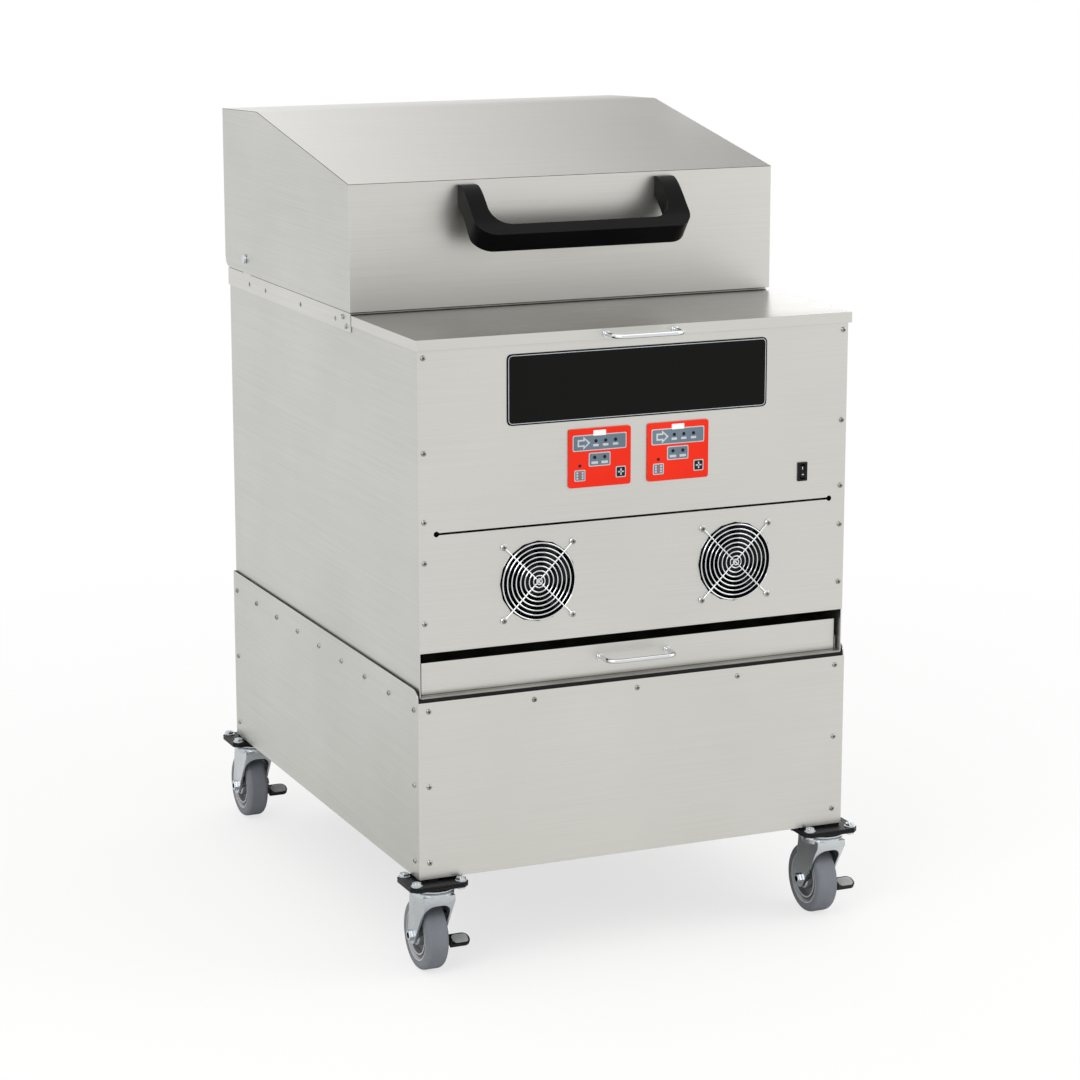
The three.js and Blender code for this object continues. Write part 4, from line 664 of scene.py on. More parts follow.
def wire_pull(node):
    """A bent wire with a small collar at each foot."""
    low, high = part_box(node)
    wire = (high.z - low.z) / 2 / MM
    z, face = (low.z + high.z) / 2, high.y
    left, right = low.x + wire * MM, high.x - wire * MM
    radius = PULL_BEND * MM
    depth = low.y + wire * MM + radius
    bends = quarter(left + radius, depth, radius, 180, 8) + quarter(right - radius, depth, radius, 270, 8)
    points = [Vector((x, y, z)) for x, y in [(left, face), *bends, (right, face)]]
    bm = tube(bmesh.new(), points, wire)
    for x in (left, right):
        lathe(bm, [(wire + out, height) for out, height in PULL_COLLAR], (x, face, z), FORWARD, 32)
    instead(f"{node}_wire", outward(bm), node, CHROME)


CLIP_BACK = 30
CLIP_PROUD = 2.2
CLIP_BOLTS = ((-12, 7), (0, 19))
CLIP_BOLT_RADIUS = 3.4
CLIP_BOLT_HEIGHT = 2.6


def lid_hinge_clips():
    """The bolts of the small clips behind the lid's rear corners."""
    for end, side in enumerate(SIDES):
        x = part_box(f"{side}_side_panel")[end].x + OUTWARD[side][0] * CLIP_PROUD * MM
        places = [(x, RIM_LOW.y + (CLIP_BACK + back) * MM, RIM_LOW.z + up * MM) for back, up in CLIP_BOLTS]
        grown(f"lid_clip_bolts_{side}", NUTS, places, STEEL_SLOT, Radius=CLIP_BOLT_RADIUS * MM,
              Height=CLIP_BOLT_HEIGHT * MM, Direction=OUTWARD[side])


# Screws, from the edges that they follow
COLUMN_INSET = 7.7
FRONT_SCREW_HEIGHTS = (41.5, 126, 182.5, 277.5, 407)
BASE_ROW_BELOW_TOP = 12.5
BASE_COLUMN_HEIGHTS = (24, 133)
BASE_FRONT_COUNT = 5
BASE_SIDE_COUNT = 9
RIM_SCREW_BACKS = (61.5, 210.5, 369.5, 445.5)
RIM_SCREW_HEIGHT = 12.4
RIM_BACK_COUNT = 5
BACK_PANEL_ENDS = (40, 30)
BACK_PANEL_COUNT = 4
HEAD_RADIUS = 3.9
HEAD_HEIGHT = 2
LOW_HEAD_HEIGHT = 0.5


def screws(name, places, direction, height=HEAD_HEIGHT, radius=HEAD_RADIUS):
    grown(name, SCREWS, places, STEEL_SLOT, Radius=radius * MM, Height=height * MM, Direction=direction)


def share_out(first, last, count):
    return [first + (last - first) * i / (count - 1) for i in range(count)]


def panel_screws():
    """Every row and column of pan head screws that holds the sheets on."""
    inset = COLUMN_INSET * MM
    low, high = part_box("front_panel")
    columns = (low.x + inset, high.x - inset)
    places = [(x, low.y, low.z + h * MM) for x in columns for h in FRONT_SCREW_HEIGHTS]
    screws("front_panel_screws", places, FORWARD)
    low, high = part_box("base_front_panel")
    row_z = high.z - BASE_ROW_BELOW_TOP * MM
    heights = [low.z + h * MM for h in BASE_COLUMN_HEIGHTS]
    ends = (low.x + 2 * inset, high.x - 2 * inset)
    for name, y, direction in (("front", low.y, FORWARD), ("back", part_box("base_back_panel")[1].y, BACKWARD)):
        places = [(x, y, row_z) for x in share_out(*ends, BASE_FRONT_COUNT)]
        places += [(x, y, z) for x in ends for z in heights]
        screws(f"base_{name}_screws", places, direction)
    low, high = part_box("base_left_panel")
    ends = (low.y + 2 * inset, high.y - 2 * inset)
    heights = [low.z + h * MM for h in BASE_COLUMN_HEIGHTS]
    rim_z = RIM_LOW.z + RIM_SCREW_HEIGHT * MM
    for end, side in enumerate(SIDES):
        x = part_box(f"base_{side}_panel")[end].x
        places = [(x, y, row_z) for y in share_out(*ends, BASE_SIDE_COUNT)]
        places += [(x, y, z) for y in ends for z in heights]
        screws(f"base_{side}_screws", places, OUTWARD[side])
        x = (RIM_LOW, RIM_HIGH)[end].x
        places = [(x, RIM_LOW.y + back * MM, rim_z) for back in RIM_SCREW_BACKS]
        screws(f"rim_{side}_screws", places, OUTWARD[side], height=LOW_HEAD_HEIGHT)
    low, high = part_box("back_panel")
    columns = (low.x + inset, high.x - inset)
    places = [(x, RIM_HIGH.y, rim_z) for x in share_out(*columns, RIM_BACK_COUNT)]
    screws("rim_back_screws", places, BACKWARD, height=LOW_HEAD_HEIGHT)
    above, below = BACK_PANEL_ENDS
    heights = share_out(low.z + above * MM, RIM_LOW.z - below * MM, BACK_PANEL_COUNT)
    screws("back_panel_screws", [(x, high.y, z) for x in columns for z in heights], BACKWARD)


# Fans. The guard's wires lie behind its front, its eyes are flat washers, and a collar ties its middle
GUARD_EYE = 4.6
GUARD_BORE = 2.2
RING_DEPTH = 1.1
CROSS_DEPTH = 1.6
CROSS_WIRE = 1.2
EYE_PROFILE = ((GUARD_BORE, 0), (GUARD_EYE, 0), (GUARD_EYE, 1.6), (GUARD_EYE - 0.6, 2.2), (GUARD_BORE, 2.2))
GUARD_COLLAR = ((3.2, -0.6), (4.8, -0.6), (5.2, 0.4), (4.8, 1.4), (3.2, 1.4))
GUARD_SCREW_LIFT = 2.1
GUARD_SCREW_HEIGHT = 1.6


def fans():
    """Guard, frame and bladed rotor of each fan."""
    for side in SIDES:
        node = f"fan_guard_{side}"
        low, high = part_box(node)
        centre = (low + high) / 2
        corner = (high.x - low.x) / 2 - GUARD_EYE * MM
        wires = centre.copy()
        wires.y = low.y + RING_DEPTH * MM
        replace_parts(grown(f"fan_guard_rings_{side}", GUARD, [wires], "chrome wire"), node)
        bm = bmesh.new()
        y = wires.y + CROSS_DEPTH * MM
        for slant in (1, -1):
            ends = [Vector((centre.x + s * corner, y, centre.z + s * slant * corner)) for s in (-1, 1)]
            tube(bm, ends, CROSS_WIRE, 12)
        eyes = [Vector((centre.x + sx * corner, high.y, centre.z + sz * corner)) for sx, sz in BOTH_WAYS]
        for eye in eyes:
            lathe(bm, EYE_PROFILE, eye, FORWARD, 32)
        lathe(bm, GUARD_COLLAR, wires, FORWARD, 32)
        finished(f"fan_guard_cross_{side}", outward(bm), node, CHROME)
        seats = [eye - Vector((0, GUARD_SCREW_LIFT * MM, 0)) for eye in eyes]
        screws(f"fan_guard_screws_{side}", seats, FORWARD, height=GUARD_SCREW_HEIGHT)
        dressed(f"fan_frame_{side}", "moulding", ABS_BLACK, 0.8, 2, 40)
        fan_rotor(side)


# The rotor. Its blade's sweep, chord and taper are in radians
ROTOR_BLADES = 7
HUB_RADIUS = 22
HUB_EDGE = 2
HUB_SHORT = 5
SPINDLE_RADIUS = 4
BLADE_REACH = 53
BLADE_ROOT = 1
BLADE_HALF = 0.8
BLADE_SWEEP = 0.3
BLADE_CHORD = 0.8
BLADE_TAPER = 0.15
BLADE_CLEAR = 14
BLADE_CAMBER = 3
BLADE_FORWARD = 1
BLADE_SPAN_STEPS = 6
BLADE_CHORD_STEPS = 5


def blade_skin(bm, centre, depth, start, offset):
    """One face of a blade, as rows of points from hub to tip, swept, twisted and hollow."""
    grid = []
    for i in range(BLADE_SPAN_STEPS + 1):
        out = i / BLADE_SPAN_STEPS
        radius = HUB_RADIUS - BLADE_ROOT + (BLADE_REACH - HUB_RADIUS + BLADE_ROOT) * out
        row = []
        for k in range(BLADE_CHORD_STEPS + 1):
            chord = k / BLADE_CHORD_STEPS - 0.5
            angle = start + BLADE_SWEEP * out + chord * (BLADE_CHORD - BLADE_TAPER * out)
            y = chord * (depth - BLADE_CLEAR) + BLADE_CAMBER * (chord**2 - 0.2) + offset - BLADE_FORWARD
            row.append(centre + Vector((radius * cos(angle), y, radius * sin(angle))) * MM)
        grid.append(loop_of(bm, row))
    return grid


def fan_rotor(side):
    """A moulded hub with swept, twisted blades."""
    node = f"fan_rotor_{side}"
    low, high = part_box(node)
    centre = (low + high) / 2
    depth = (high.y - low.y) / MM
    end = depth - HUB_SHORT
    bm = bmesh.new()
    hub = [(0, 0), (HUB_RADIUS - HUB_EDGE, 0), (HUB_RADIUS, HUB_EDGE), (HUB_RADIUS, end)]
    hub += [(SPINDLE_RADIUS, end), (SPINDLE_RADIUS, depth), (0, depth)]
    lathe(bm, hub, (centre.x, low.y, centre.z), BACKWARD, 48)
    for start in turns(ROTOR_BLADES):
        skins = [blade_skin(bm, centre, depth, start, offset) for offset in (-BLADE_HALF, BLADE_HALF)]
        for index, grid in enumerate(skins):
            for inner, outer in zip(grid, grid[1:]):
                for k in range(BLADE_CHORD_STEPS):
                    corners = [inner[k], outer[k], outer[k + 1], inner[k + 1]]
                    bm.faces.new(corners[::-1] if index else corners)
        edges = [([row[0] for row in grid], [row[-1] for row in grid], grid[0], grid[-1]) for grid in skins]
        for first, second in zip(*edges):
            for i in range(len(first) - 1):
                bm.faces.new((first[i], first[i + 1], second[i + 1], second[i]))
    instead(f"{node}_moulding", outward(bm), node, ABS_BLACK)


# Controls. The inks on a controller, in the order of its materials
BLUE_GREY, PALE, DARK, WHITE, RUST = range(5)
FILM = 0.2
# Patches: left, right, bottom, top, ink, layer and corner
PATCHES = (
    (5.8, 87, 51, 73.4, PALE, 1, 2),
    (7.2, 85.6, 52.4, 72, BLUE_GREY, 2, 1.4),
    (36.8, 55.8, 71.5, 79, WHITE, 3, 0.8),
    (30, 62.7, 28.6, 47.8, PALE, 1, 2),
    (31.4, 61.3, 30, 46.4, BLUE_GREY, 2, 1.4),
    (8.4, 24.9, 9.2, 24.9, PALE, 1, 1.6),
    (9.8, 23.5, 10.6, 23.5, BLUE_GREY, 2, 1),
    (71, 86.3, 10.3, 26, PALE, 1, 1.6),
    (72.4, 84.9, 11.7, 24.6, DARK, 2, 1),
    (77.8, 79.8, 13.4, 22.9, PALE, 3, 0.3),
    (74.4, 83.2, 17.2, 19.2, PALE, 3, 0.3),
)
# Rows of lamps: places across, height, and half width, bottom and top of the bar under each
LAMP_ROWS = (((40.6, 55.3, 70.3), 64.2, 4.2, 56.6, 59.8), ((38.8, 54), 41.2, 5, 32, 35.6))
LAMP_RADIUS = 2.5
DOT_STEPS = 16
SIGNAL = (16.5, 30.7, 2.2)
# The small grid of cells, its middle column in rust
CELL_COLUMNS = ((11.2, PALE), (15.2, RUST), (19.2, PALE))
CELL_ROWS = (12, 15.8, 19.6)
CELL_SIZE = (2.8, 2.6)
# Arrows: tail, tip, neck, half height, half shaft, ink and layer
ARROWS = ((13, 32, 21.5, 9.2, 5, PALE, 3), (15.4, 28.4, 23.8, 4.8, 2.6, BLUE_GREY, 4))
ARROW_HEIGHT = 62.2


def controllers():
    """Red membrane panels with a strip of lamps, a window and two printed keys."""
    prints = [(rounded(*box, corner, 4), ink, layer) for *box, ink, layer, corner in PATCHES]
    for tail, tip, neck, half, shaft, ink, layer in ARROWS:
        middle = ARROW_HEIGHT
        upper = [(tail, middle + shaft), (neck, middle + shaft), (neck, middle + half), (tip, middle)]
        prints.append((upper + [(u, 2 * middle - v) for u, v in upper[-2::-1]], ink, layer))
    for places, height, half, bottom, top in LAMP_ROWS:
        prints += [(arc(u, height, LAMP_RADIUS, turns(DOT_STEPS)), DARK, 3) for u in places]
        prints += [(rounded(u - half, u + half, bottom, top, 0.8, 4), PALE, 3) for u in places]
    prints.append((arc(*SIGNAL, turns(DOT_STEPS)), DARK, 1))
    across, up = CELL_SIZE
    for u, ink in CELL_COLUMNS:
        prints += [(rounded(u, u + across, v, v + up, 0.3, 4), ink, 3) for v in CELL_ROWS]
    for side in SIDES:
        node = f"controller_{side}"
        dressed(node, "overlay", POLYESTER_RED, 0.4, 2, 40)
        place = front_frame(*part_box(node)[0])
        bm = bmesh.new()
        for outline, ink, layer in prints:
            prism(bm, outline, 0, FILM * layer, place, ink)
        finished(f"{node}_print", outward(bm), node, POLYESTER_BLUE_GREY, POLYESTER_PALE, POLYESTER_DARK,
                 POLYESTER_WHITE, POLYESTER_RUST)


PLATE_CORNER = 8
PLATE_BORDER_INSET = 2
PLATE_BORDER = 0.9
BORDER_FILM = 0.08


def blank_plate():
    """The long black plate, bare, with its thin pale border line."""
    node = "blank_plate"
    low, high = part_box(node)
    bm = merged_copy(node)
    soften(bm, 0.3, 2, 40)
    instead("front_plate", bm, node, ACRYLIC_BLACK)
    across, up = (high.x - low.x) / MM, (high.z - low.z) / MM
    bm = bmesh.new()
    for index, inset in enumerate((PLATE_BORDER_INSET, PLATE_BORDER_INSET + PLATE_BORDER)):
        outline = rounded(inset, across - inset, inset, up - inset, PLATE_CORNER - inset, 8)
        prism(bm, outline, 0, BORDER_FILM * (index + 1), front_frame(low.x, low.y, low.z), index)
    finished("front_plate_border", outward(bm), node, POLYESTER_PALE, ACRYLIC_BLACK)


# The rocker's marks: how far from its middle, and how deep and how slanted, in degrees, it lies at each
MARK_OFFSET = 5
RING_DEPTH_ON_ROCKER, RING_SLANT = 1, 10
BAR_DEPTH_ON_ROCKER, BAR_SLANT = 2.05, 3
ROCKER_RING = ((1.2, -0.3), (1.9, -0.3), (1.9, 0.12), (1.2, 0.12))
BAR_HALF_WIDTH, BAR_HALF_HEIGHT = 0.4, 1.9


def power_switch():
    """A rocker in its bezel, with the usual bar and ring on it."""
    dressed("switch_body", "moulding", ABS_BLACK)
    node = "switch_rocker"
    dressed(node, "moulding", ABS_BLACK, 0.4, 2, 40)
    low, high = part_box(node)
    middle = (low + high) / 2
    offset = MARK_OFFSET * MM
    slant = radians(RING_SLANT)
    seat = (middle.x, low.y + RING_DEPTH_ON_ROCKER * MM, middle.z - offset)
    bm = lathe(bmesh.new(), ROCKER_RING, seat, (0, -cos(slant), -sin(slant)), 32)
    place = Matrix.Translation((middle.x, low.y + BAR_DEPTH_ON_ROCKER * MM, middle.z + offset))
    place @= Matrix.Rotation(radians(90 - BAR_SLANT), 4, "X")
    bar = rounded(-BAR_HALF_WIDTH, BAR_HALF_WIDTH, -BAR_HALF_HEIGHT, BAR_HALF_HEIGHT, 0.2, 2)
    prism(bm, bar, -0.3, 0.15, turned_frame(place))
    finished(f"{node}_marks", outward(bm), node, POLYESTER_WHITE)


INLET_SCREW_INSET = 5
INLET_SCREW_RADIUS = 2.6
INLET_SCREW_HEIGHT = 0.9


def inlet():
    """The housing of the power inlet with its two screws."""
    dressed("power_inlet", "moulding", ABS_BLACK)
    low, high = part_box("power_inlet")
    inset = INLET_SCREW_INSET * MM
    places = [(x, high.y, (low.z + high.z) / 2) for x in (low.x + inset, high.x - inset)]
    screws("power_inlet_screws", places, BACKWARD, INLET_SCREW_HEIGHT, INLET_SCREW_RADIUS)


# Fire and feed. Node, how it is made, material, and the width, steps and least angle of its rounded edges
FIRE_PIECES = (
    ("fire_pot", "casting", IRON, 0.8, 2, 40),
    ("cooking_grate", "casting", IRON, 1.5, 2, 40),
    ("auger_tube", "tube", STAINLESS_MILL, 0.4, 2, 40),
    ("auger_screw", "flight", STAINLESS_MILL, 0.3, 1, 60),
    ("gear_motor", "housing", POWDER_BLACK, 1.5, 2, 40),
    ("hood_pivot", "bolt", ZINC, 0.6, 2, 40),
)


def fire():
    """Pots, augers and motors, the grates over them, and the hood's pivot bolts."""
    for side in SIDES:
        for node, *how in FIRE_PIECES:
            dressed(f"{node}_{side}", *how)


# Casters
TREAD_RADIUS = 50.8
TREAD_HALF = 16
TREAD_INNER = 38
SHOULDER = 7
CORE_LIP = 36
CORE_FACE = 14
CORE_RECESS = 7
# Half of the core's profile, from the bore of its hub to its lip: radius and height
CORE = (
    (5.1, 18), (13, 18), (15, 16), (16, CORE_RECESS), (26, CORE_RECESS), (27.5, CORE_FACE),
    (29.5, CORE_FACE), (30.5, CORE_FACE - 3), (CORE_LIP - 1, CORE_FACE - 3), (CORE_LIP, 15.5), (37.8, 15.5),
)


def caster_wheel(corner):
    """Grey tread moulded on a lighter core, with a hub and a recess round it on both faces; the recess is
    darkened as painted shade.
    """
    node = f"caster_wheel_{corner}"
    centre = middle_of(node)
    flat = TREAD_RADIUS - SHOULDER
    tread = quarter(flat, TREAD_HALF - SHOULDER, SHOULDER, 0, 8)
    tread += [(TREAD_INNER, TREAD_HALF), (TREAD_INNER, -TREAD_HALF)]
    tread += quarter(flat, -TREAD_HALF + SHOULDER, SHOULDER, -90, 8)
    bm = lathe(bmesh.new(), tread, centre, RIGHTWARD, 96, 0)
    before = len(bm.faces)
    lathe(bm, [*CORE, *[(r, -h) for r, h in reversed(CORE)]], centre, RIGHTWARD, 96, 1)
    # The faces in the recess inside the lip take the darker core, as painted shade.
    bm.faces.ensure_lookup_table()
    for face in bm.faces[before:]:
        middle = face.calc_center_median() - centre
        if abs(middle.x) < (CORE_FACE - 1) * MM and hypot(middle.y, middle.z) < (CORE_LIP - 0.6) * MM:
            face.material_index = 2
    name = f"wheel_{corner}_tread_and_core"
    instead(name, outward(bm), node, RUBBER_GREY, CORE_GREY, CORE_SHADED, sharp=40)


# The fork: heights are above the floor, and the trail is how far the axle lies behind the swivel
FORK_INNER = 19.5
FORK_OUTER = 22.5
FORK_WALL = 3
CROWN_TOP = 124.7
CROWN_LOW = 116
CROWN_HALF = 29
CROWN_BACK = 31
SHOULDER_DROPS = (4, 12)
LEG_BOSS = 13
LEG_HEEL = (6, 20)
# Degrees round the foot of a leg, how far below the crown's top the hollow starts and bends, and how far the
# cuts reach: below the floor, behind the swivel, and before and behind it for the arch
BOSS_ANGLES = range(200, 361, 16)
HOLLOW_DROPS = (8, 13)
CUT_BELOW = 10
CUT_BACK = 120
ARCH_CUT = (60, -10)
ARCH_TOP = 106
ARCH_CORNER = 15
RACE_RADIUS = 30
TRAIL = 26
AXLE_RADIUS = 4.7
NUT_RADIUS = 8.4
NUT_HEIGHT = 5
# How far the axle's nuts reach beyond the fork, left and right
NUT_ENDS = (5, 8.6)


def caster_fork(corner):
    """A pressed fork: crown, two legs and an apron in front with an arch over the wheel."""
    axle = middle_of(f"caster_wheel_{corner}")
    swivel = Vector((axle.x, axle.y - TRAIL * MM, 0))
    place = side_frame(*swivel)
    wheel_z = axle.z / MM
    boss = arc(TRAIL, wheel_z, LEG_BOSS, [radians(a) for a in BOSS_ANGLES])
    upper, lower = [CROWN_TOP - drop for drop in SHOULDER_DROPS]
    heel = (CROWN_BACK + LEG_HEEL[0], wheel_z + LEG_HEEL[1])
    outline = [(-CROWN_HALF, upper), (-CROWN_HALF, lower), *boss, heel]
    outline += [(CROWN_BACK, lower), (CROWN_BACK, upper)]
    yoke = prism(bmesh.new(), outline, -FORK_OUTER, FORK_OUTER, place)
    ceiling, fold = [CROWN_TOP - drop for drop in HOLLOW_DROPS]
    hollow = [(-CROWN_HALF + FORK_WALL, ceiling), (-CROWN_HALF + FORK_WALL, fold)]
    hollow += [(u + FORK_WALL, v - 2) for u, v in boss[:2]]
    hollow += [(0, -CUT_BELOW), (CUT_BACK, -CUT_BELOW), (CUT_BACK, ceiling)]
    yoke = carved(yoke, prism(bmesh.new(), hollow, -FORK_INNER, FORK_INNER, place), "DIFFERENCE")
    arch = rounded(-FORK_INNER, FORK_INNER, -ARCH_TOP, ARCH_TOP, ARCH_CORNER, 12)
    yoke = carved(yoke, prism(bmesh.new(), arch, *ARCH_CUT, front_frame(*swivel)), "DIFFERENCE")
    soften(yoke, 0.8, 2, 40)
    crown = [(0, CROWN_LOW), (RACE_RADIUS - 1, CROWN_LOW), (RACE_RADIUS, CROWN_LOW + 2)]
    crown += [(RACE_RADIUS, CROWN_TOP - 1.4), (RACE_RADIUS - 1.4, CROWN_TOP), (0, CROWN_TOP)]
    lathe(yoke, crown, swivel, UPWARD, 64)
    left, right = -FORK_OUTER - NUT_ENDS[0], FORK_OUTER + NUT_ENDS[1]
    for radius, start, end, steps in (
        (AXLE_RADIUS, left, right, 32),
        (NUT_RADIUS, left, left + NUT_HEIGHT, 6),
        (NUT_RADIUS, right - NUT_HEIGHT, right, 6),
    ):
        half = [(0, start), (radius - 0.5, start), (radius, start + 0.6)]
        profile = half + [(r, start + end - h) for r, h in reversed(half)]
        lathe(yoke, profile, axle, RIGHTWARD, steps)
    instead(f"fork_{corner}_pressing", outward(yoke), f"caster_fork_{corner}", ZINC, sharp=40)


# The caster's plate, with heights above the floor
PLATE_LOW, PLATE_HIGH = 131, 135
PLATE_CUT = 8
UPPER_RACE = (
    (0, 125.3), (RACE_RADIUS - 3, 125.3), (RACE_RADIUS + 1, 126.4), (RACE_RADIUS + 1.5, 128.5),
    (RACE_RADIUS - 2, 130.9), (0, 130.9),
)
BOLT_INSET = 10
NUT_SEAT = 138.7


def caster_plate(corner):
    """Black top plate with the bright upper race under it and four nuts on top."""
    node = f"caster_plate_{corner}"
    low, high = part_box(node)
    centre = (low + high) / 2
    x, y = (high.x - low.x) / 2 / MM, (high.y - low.y) / 2 / MM
    cut = PLATE_CUT
    ground = Matrix.Translation((centre.x, centre.y, 0))
    half = [(-x + cut, -y), (x - cut, -y), (x, -y + cut), (x, y - cut)]
    outline = half + [(-u, -v) for u, v in half]
    bm = prism(bmesh.new(), outline, PLATE_LOW, PLATE_HIGH, turned_frame(ground))
    soften(outward(bm), 0.8, 2)
    instead(f"{node}_steel", bm, node, POWDER_BLACK)
    bm = lathe(bmesh.new(), UPPER_RACE, (centre.x, centre.y, 0), UPWARD, 64)
    finished(f"{node}_race", outward(bm), node, ZINC, slot_name=ZINC_SLOT)
    x, y = (x - BOLT_INSET) * MM, (y - BOLT_INSET) * MM
    for name, height, radius, tall, direction in (
        ("nuts", NUT_SEAT, 7, 4.8, UPWARD),
        ("bolt_heads", PLATE_LOW, 6.4, 3.6, DOWNWARD),
    ):
        places = [(centre.x + sx * x, centre.y + sy * y, height * MM) for sx, sy in BOTH_WAYS]
        grown(f"{node}_{name}", NUTS, places, ZINC_SLOT, Radius=radius * MM, Height=tall * MM,
              Direction=direction)


# The brake lever, from its axle: (back, up), and its pedal
BRAKE_ARM = [(6, -6), (6, 6), (-6, 6), (-26, -1), (-35, -4), (-35, -12), (-13, -14)]
ARM_THICKNESS = 3
BRAKE_COLLAR = ((5.1, 0), (8.5, 0), (8.5, 2.4), (7.9, 3), (5.1, 3))
PEDAL_MIDDLE = (-24, -8)
PEDAL_WIDTH = 32
PEDAL_HALF = 11
PEDAL_HALF_THICKNESS = 2.5
PEDAL_SLANT = 25
PEDAL_FLUSH = 0.2
PAD_START = 6
PAD_INSET = 2.6
PAD_RIBS = 6
RIB_INSET = 1.5
RIB_HALF = 0.5


def brake(corner):
    """Lever round the axle with a ribbed grey pad on its black pedal."""
    node = f"brake_pedal_{corner}"
    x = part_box(node)[0].x
    axle = middle_of(f"caster_wheel_{corner}")
    bm = prism(bmesh.new(), BRAKE_ARM, 0, ARM_THICKNESS, side_frame(x, axle.y, axle.z))
    back, up = PEDAL_MIDDLE
    top = PEDAL_HALF_THICKNESS
    seat = Matrix.Translation((x, axle.y + back * MM, axle.z + up * MM))
    place = turned_frame(seat @ Matrix.Rotation(radians(PEDAL_SLANT), 4, "X"))
    pedal = rounded(-8, PEDAL_WIDTH, -PEDAL_HALF, PEDAL_HALF, PEDAL_HALF - 1.5, 10)
    prism(bm, [(max(u, PEDAL_FLUSH), v) for u, v in pedal], -top, top, place)
    bmesh.ops.remove_doubles(bm, verts=bm.verts, dist=0.01 * MM)
    soften(outward(bm), 0.9, 3, 40)
    lathe(bm, BRAKE_COLLAR, (x, axle.y, axle.z), RIGHTWARD, 40)
    instead(f"{node}_lever", outward(bm), node, POWDER_BLACK)
    start, end, half = PAD_START, PEDAL_WIDTH - PAD_INSET, PEDAL_HALF - PAD_INSET
    bm = prism(bmesh.new(), rounded(start, end, -half, half, 6, 8), top - 0.4, top + 0.5, place)
    for i in range(PAD_RIBS):
        v = -half + (i + 1) * 2 * half / (PAD_RIBS + 1)
        rib = rounded(start + RIB_INSET, end - RIB_INSET, v - RIB_HALF, v + RIB_HALF, 0.3, 2)
        prism(bm, rib, top + 0.3, top + 1.1, place)
    finished(f"{node}_pad", outward(bm), node, PAD_GREY)


def casters():
    for corner in CORNERS:
        caster_wheel(corner)
        caster_fork(corner)
        caster_plate(corner)
        brake(corner)


# Stage. Sizes and places here are in metres, the camera's sensor in millimetres and its turns in degrees
FOCAL_PX = 3124
PHOTO_PX = 1080
SENSOR = 36
CAMERA_PLACE = (-1.8323, -4.2488, 1.5354)
CAMERA_YAW = 23.62
CAMERA_PITCH = 12.49
WHITE_LIGHT = (1, 1, 1, 1)
LAMP_TARGET = (0, 0, 0.6)
# Lamps: name, place, side and watts
LAMPS = (
    ("window_left", (-2.6, -2.2, 2.6), 2.4, 60),
    ("window_right", (2.8, -1.6, 2.0), 2.4, 30),
    ("ceiling", (0.3, 0.4, 3.6), 4.6, 50),
)
# The hood's slope falls off towards its right, and the lid brightens at its right end. Cards: name, place,
# size, light at the left and at the right, and where it ends as a share of the half width
CARDS = (
    ("flag", (1.35, 1.7, 2.25), (2.7, 1.5), 1.25, 0.0, 0.35),
    ("bright_card", (1.5, 1.0, 1.12), (1.5, 0.5), 2.7, 3.3, 0.5),
)
FLOOR_RADIUS = 6
FLOOR_FADE = (0.7, 2.2)
FLOOR_LIFT = 0.7
ROOM_LIGHT = 0.75


def camera():
    """The photograph's own viewpoint, without shift."""
    data = bpy.data.cameras.new("camera")
    data.sensor_width = SENSOR
    data.lens = FOCAL_PX / PHOTO_PX * SENSOR
    data.clip_start, data.clip_end = 0.05, 100
    made = placed("camera", data)
    made.location = CAMERA_PLACE
    made.rotation_euler = (radians(90 - CAMERA_PITCH), 0, radians(-CAMERA_YAW))
    bpy.context.scene.camera = made


def card(name, place, size, left, right, end):
    """An upright cloth that only glossy surfaces see, its light going from left to right."""
    x, z = size[0] / 2, size[1] / 2
    mesh = bpy.data.meshes.new(name)
    mesh.from_pydata([(-x, 0, -z), (x, 0, -z), (x, 0, z), (-x, 0, z)], [], [(0, 1, 2, 3)])
    cloth = placed(name, mesh)
    cloth.location = place
    for kind in ("camera", "diffuse", "shadow", "transmission"):
        setattr(cloth, f"visible_{kind}", False)
    mesh.materials.append(bpy.data.materials.new(f"{name}_cloth"))
    tree = emptied(mesh.materials[0])
    middle = add(tree, "ShaderNodeTexCoord").outputs["Object"]
    along = add(tree, "ShaderNodeSeparateXYZ", middle).outputs["X"]
    strength = add(tree, "ShaderNodeMapRange", along, -x, end * x, left, right)
    add(tree, "ShaderNodeOutputMaterial", add(tree, "ShaderNodeEmission", WHITE_LIGHT, strength))


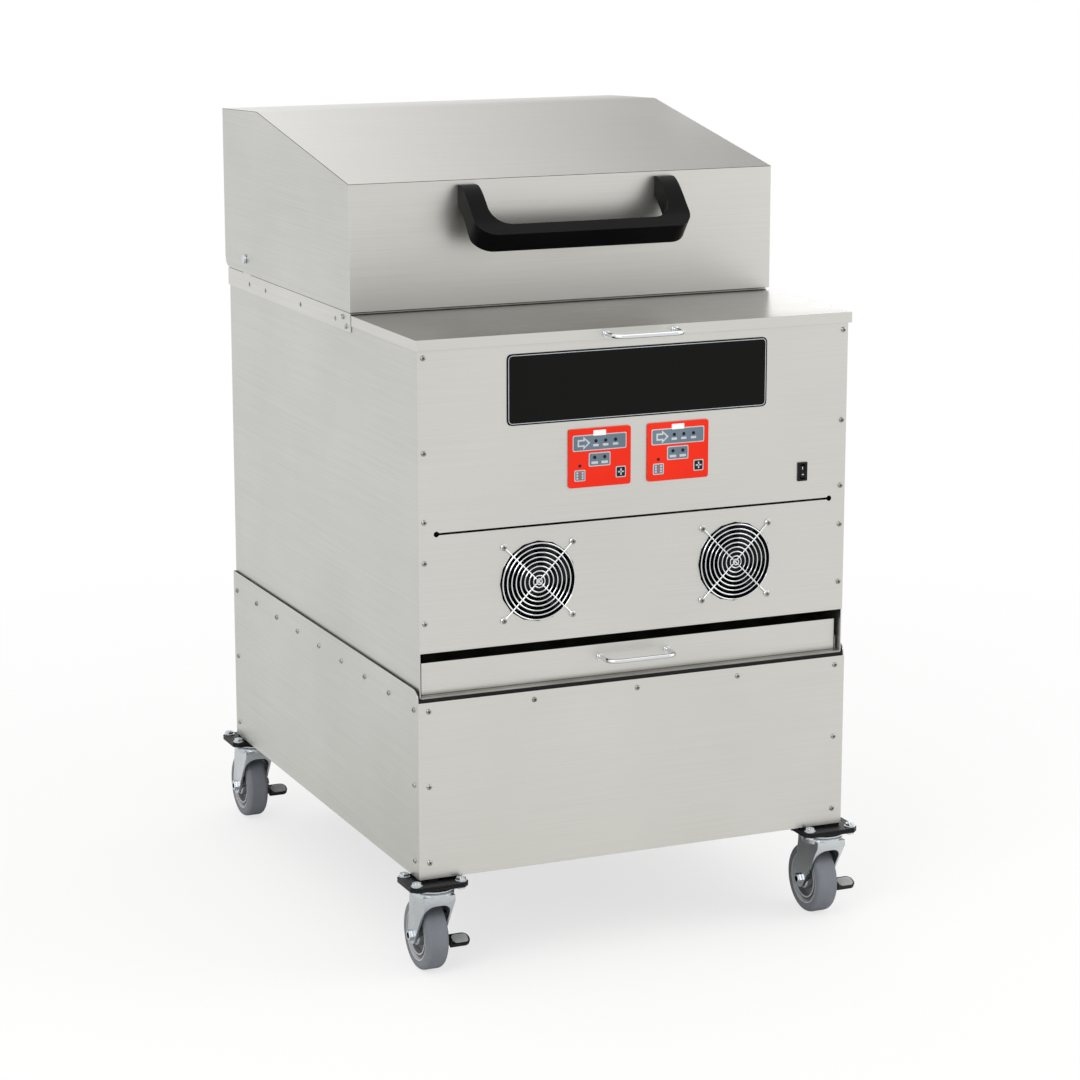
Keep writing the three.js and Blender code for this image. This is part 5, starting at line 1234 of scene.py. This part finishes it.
def stage():
    """A pale floor that fades into a white room, soft light from above and both sides, and the cards."""
    bm = bmesh.new()
    bmesh.ops.create_circle(bm, cap_ends=True, segments=96, radius=FLOOR_RADIUS)
    mesh = bpy.data.meshes.new("floor")
    bm.to_mesh(mesh)
    bm.free()
    placed("floor", mesh)
    mesh.materials.append(bpy.data.materials.new("floor_paper"))
    tree = emptied(mesh.materials[0])
    place = add(tree, "ShaderNodeTexCoord").outputs["Object"]
    far = add(tree, "ShaderNodeVectorMath", place, operation="LENGTH").outputs["Value"]
    fade = add(tree, "ShaderNodeMapRange", far, *FLOOR_FADE)
    shade = add(tree, "ShaderNodeBsdfDiffuse", linear("#e6e6e4"))
    seen = add(tree, "ShaderNodeLightPath").outputs["Is Camera Ray"]
    lift = add(tree, "ShaderNodeMath", seen, FLOOR_LIFT, operation="MULTIPLY")
    shade = add(tree, "ShaderNodeMixShader", lift, shade, add(tree, "ShaderNodeEmission", WHITE_LIGHT, 1.0))
    both = add(tree, "ShaderNodeMixShader", fade, shade, add(tree, "ShaderNodeBsdfTransparent"))
    add(tree, "ShaderNodeOutputMaterial", both)

    world = bpy.data.worlds.new("room")
    bpy.context.scene.world = world
    tree = emptied(world)
    path = add(tree, "ShaderNodeLightPath").outputs
    seen = add(tree, "ShaderNodeMath", path["Is Camera Ray"], path["Is Glossy Ray"], operation="MAXIMUM")
    seen = add(tree, "ShaderNodeMath", seen, path["Is Transmission Ray"], operation="MAXIMUM")
    strength = add(tree, "ShaderNodeMapRange", seen, 0.0, 1.0, ROOM_LIGHT, 1.0)
    add(tree, "ShaderNodeOutputWorld", add(tree, "ShaderNodeBackground", WHITE_LIGHT, strength))

    for name, place, side, watts in LAMPS:
        data = bpy.data.lights.new(name, "AREA")
        data.shape = "SQUARE"
        data.size = side
        data.energy = watts
        lamp = placed(name, data)
        lamp.location = place
        lamp.rotation_euler = (Vector(LAMP_TARGET) - Vector(place)).to_track_quat("-Z", "Y").to_euler()
    for values in CARDS:
        card(*values)
    bpy.context.scene.view_settings.view_transform = "Standard"


camera()
stage()
panels()
hood()
hood_handle()
wire_pull("lid_handle")
wire_pull("drawer_handle")
lid_hinge_clips()
panel_screws()
fans()
controllers()
blank_plate()
power_switch()
inlet()
fire()
casters()

import json
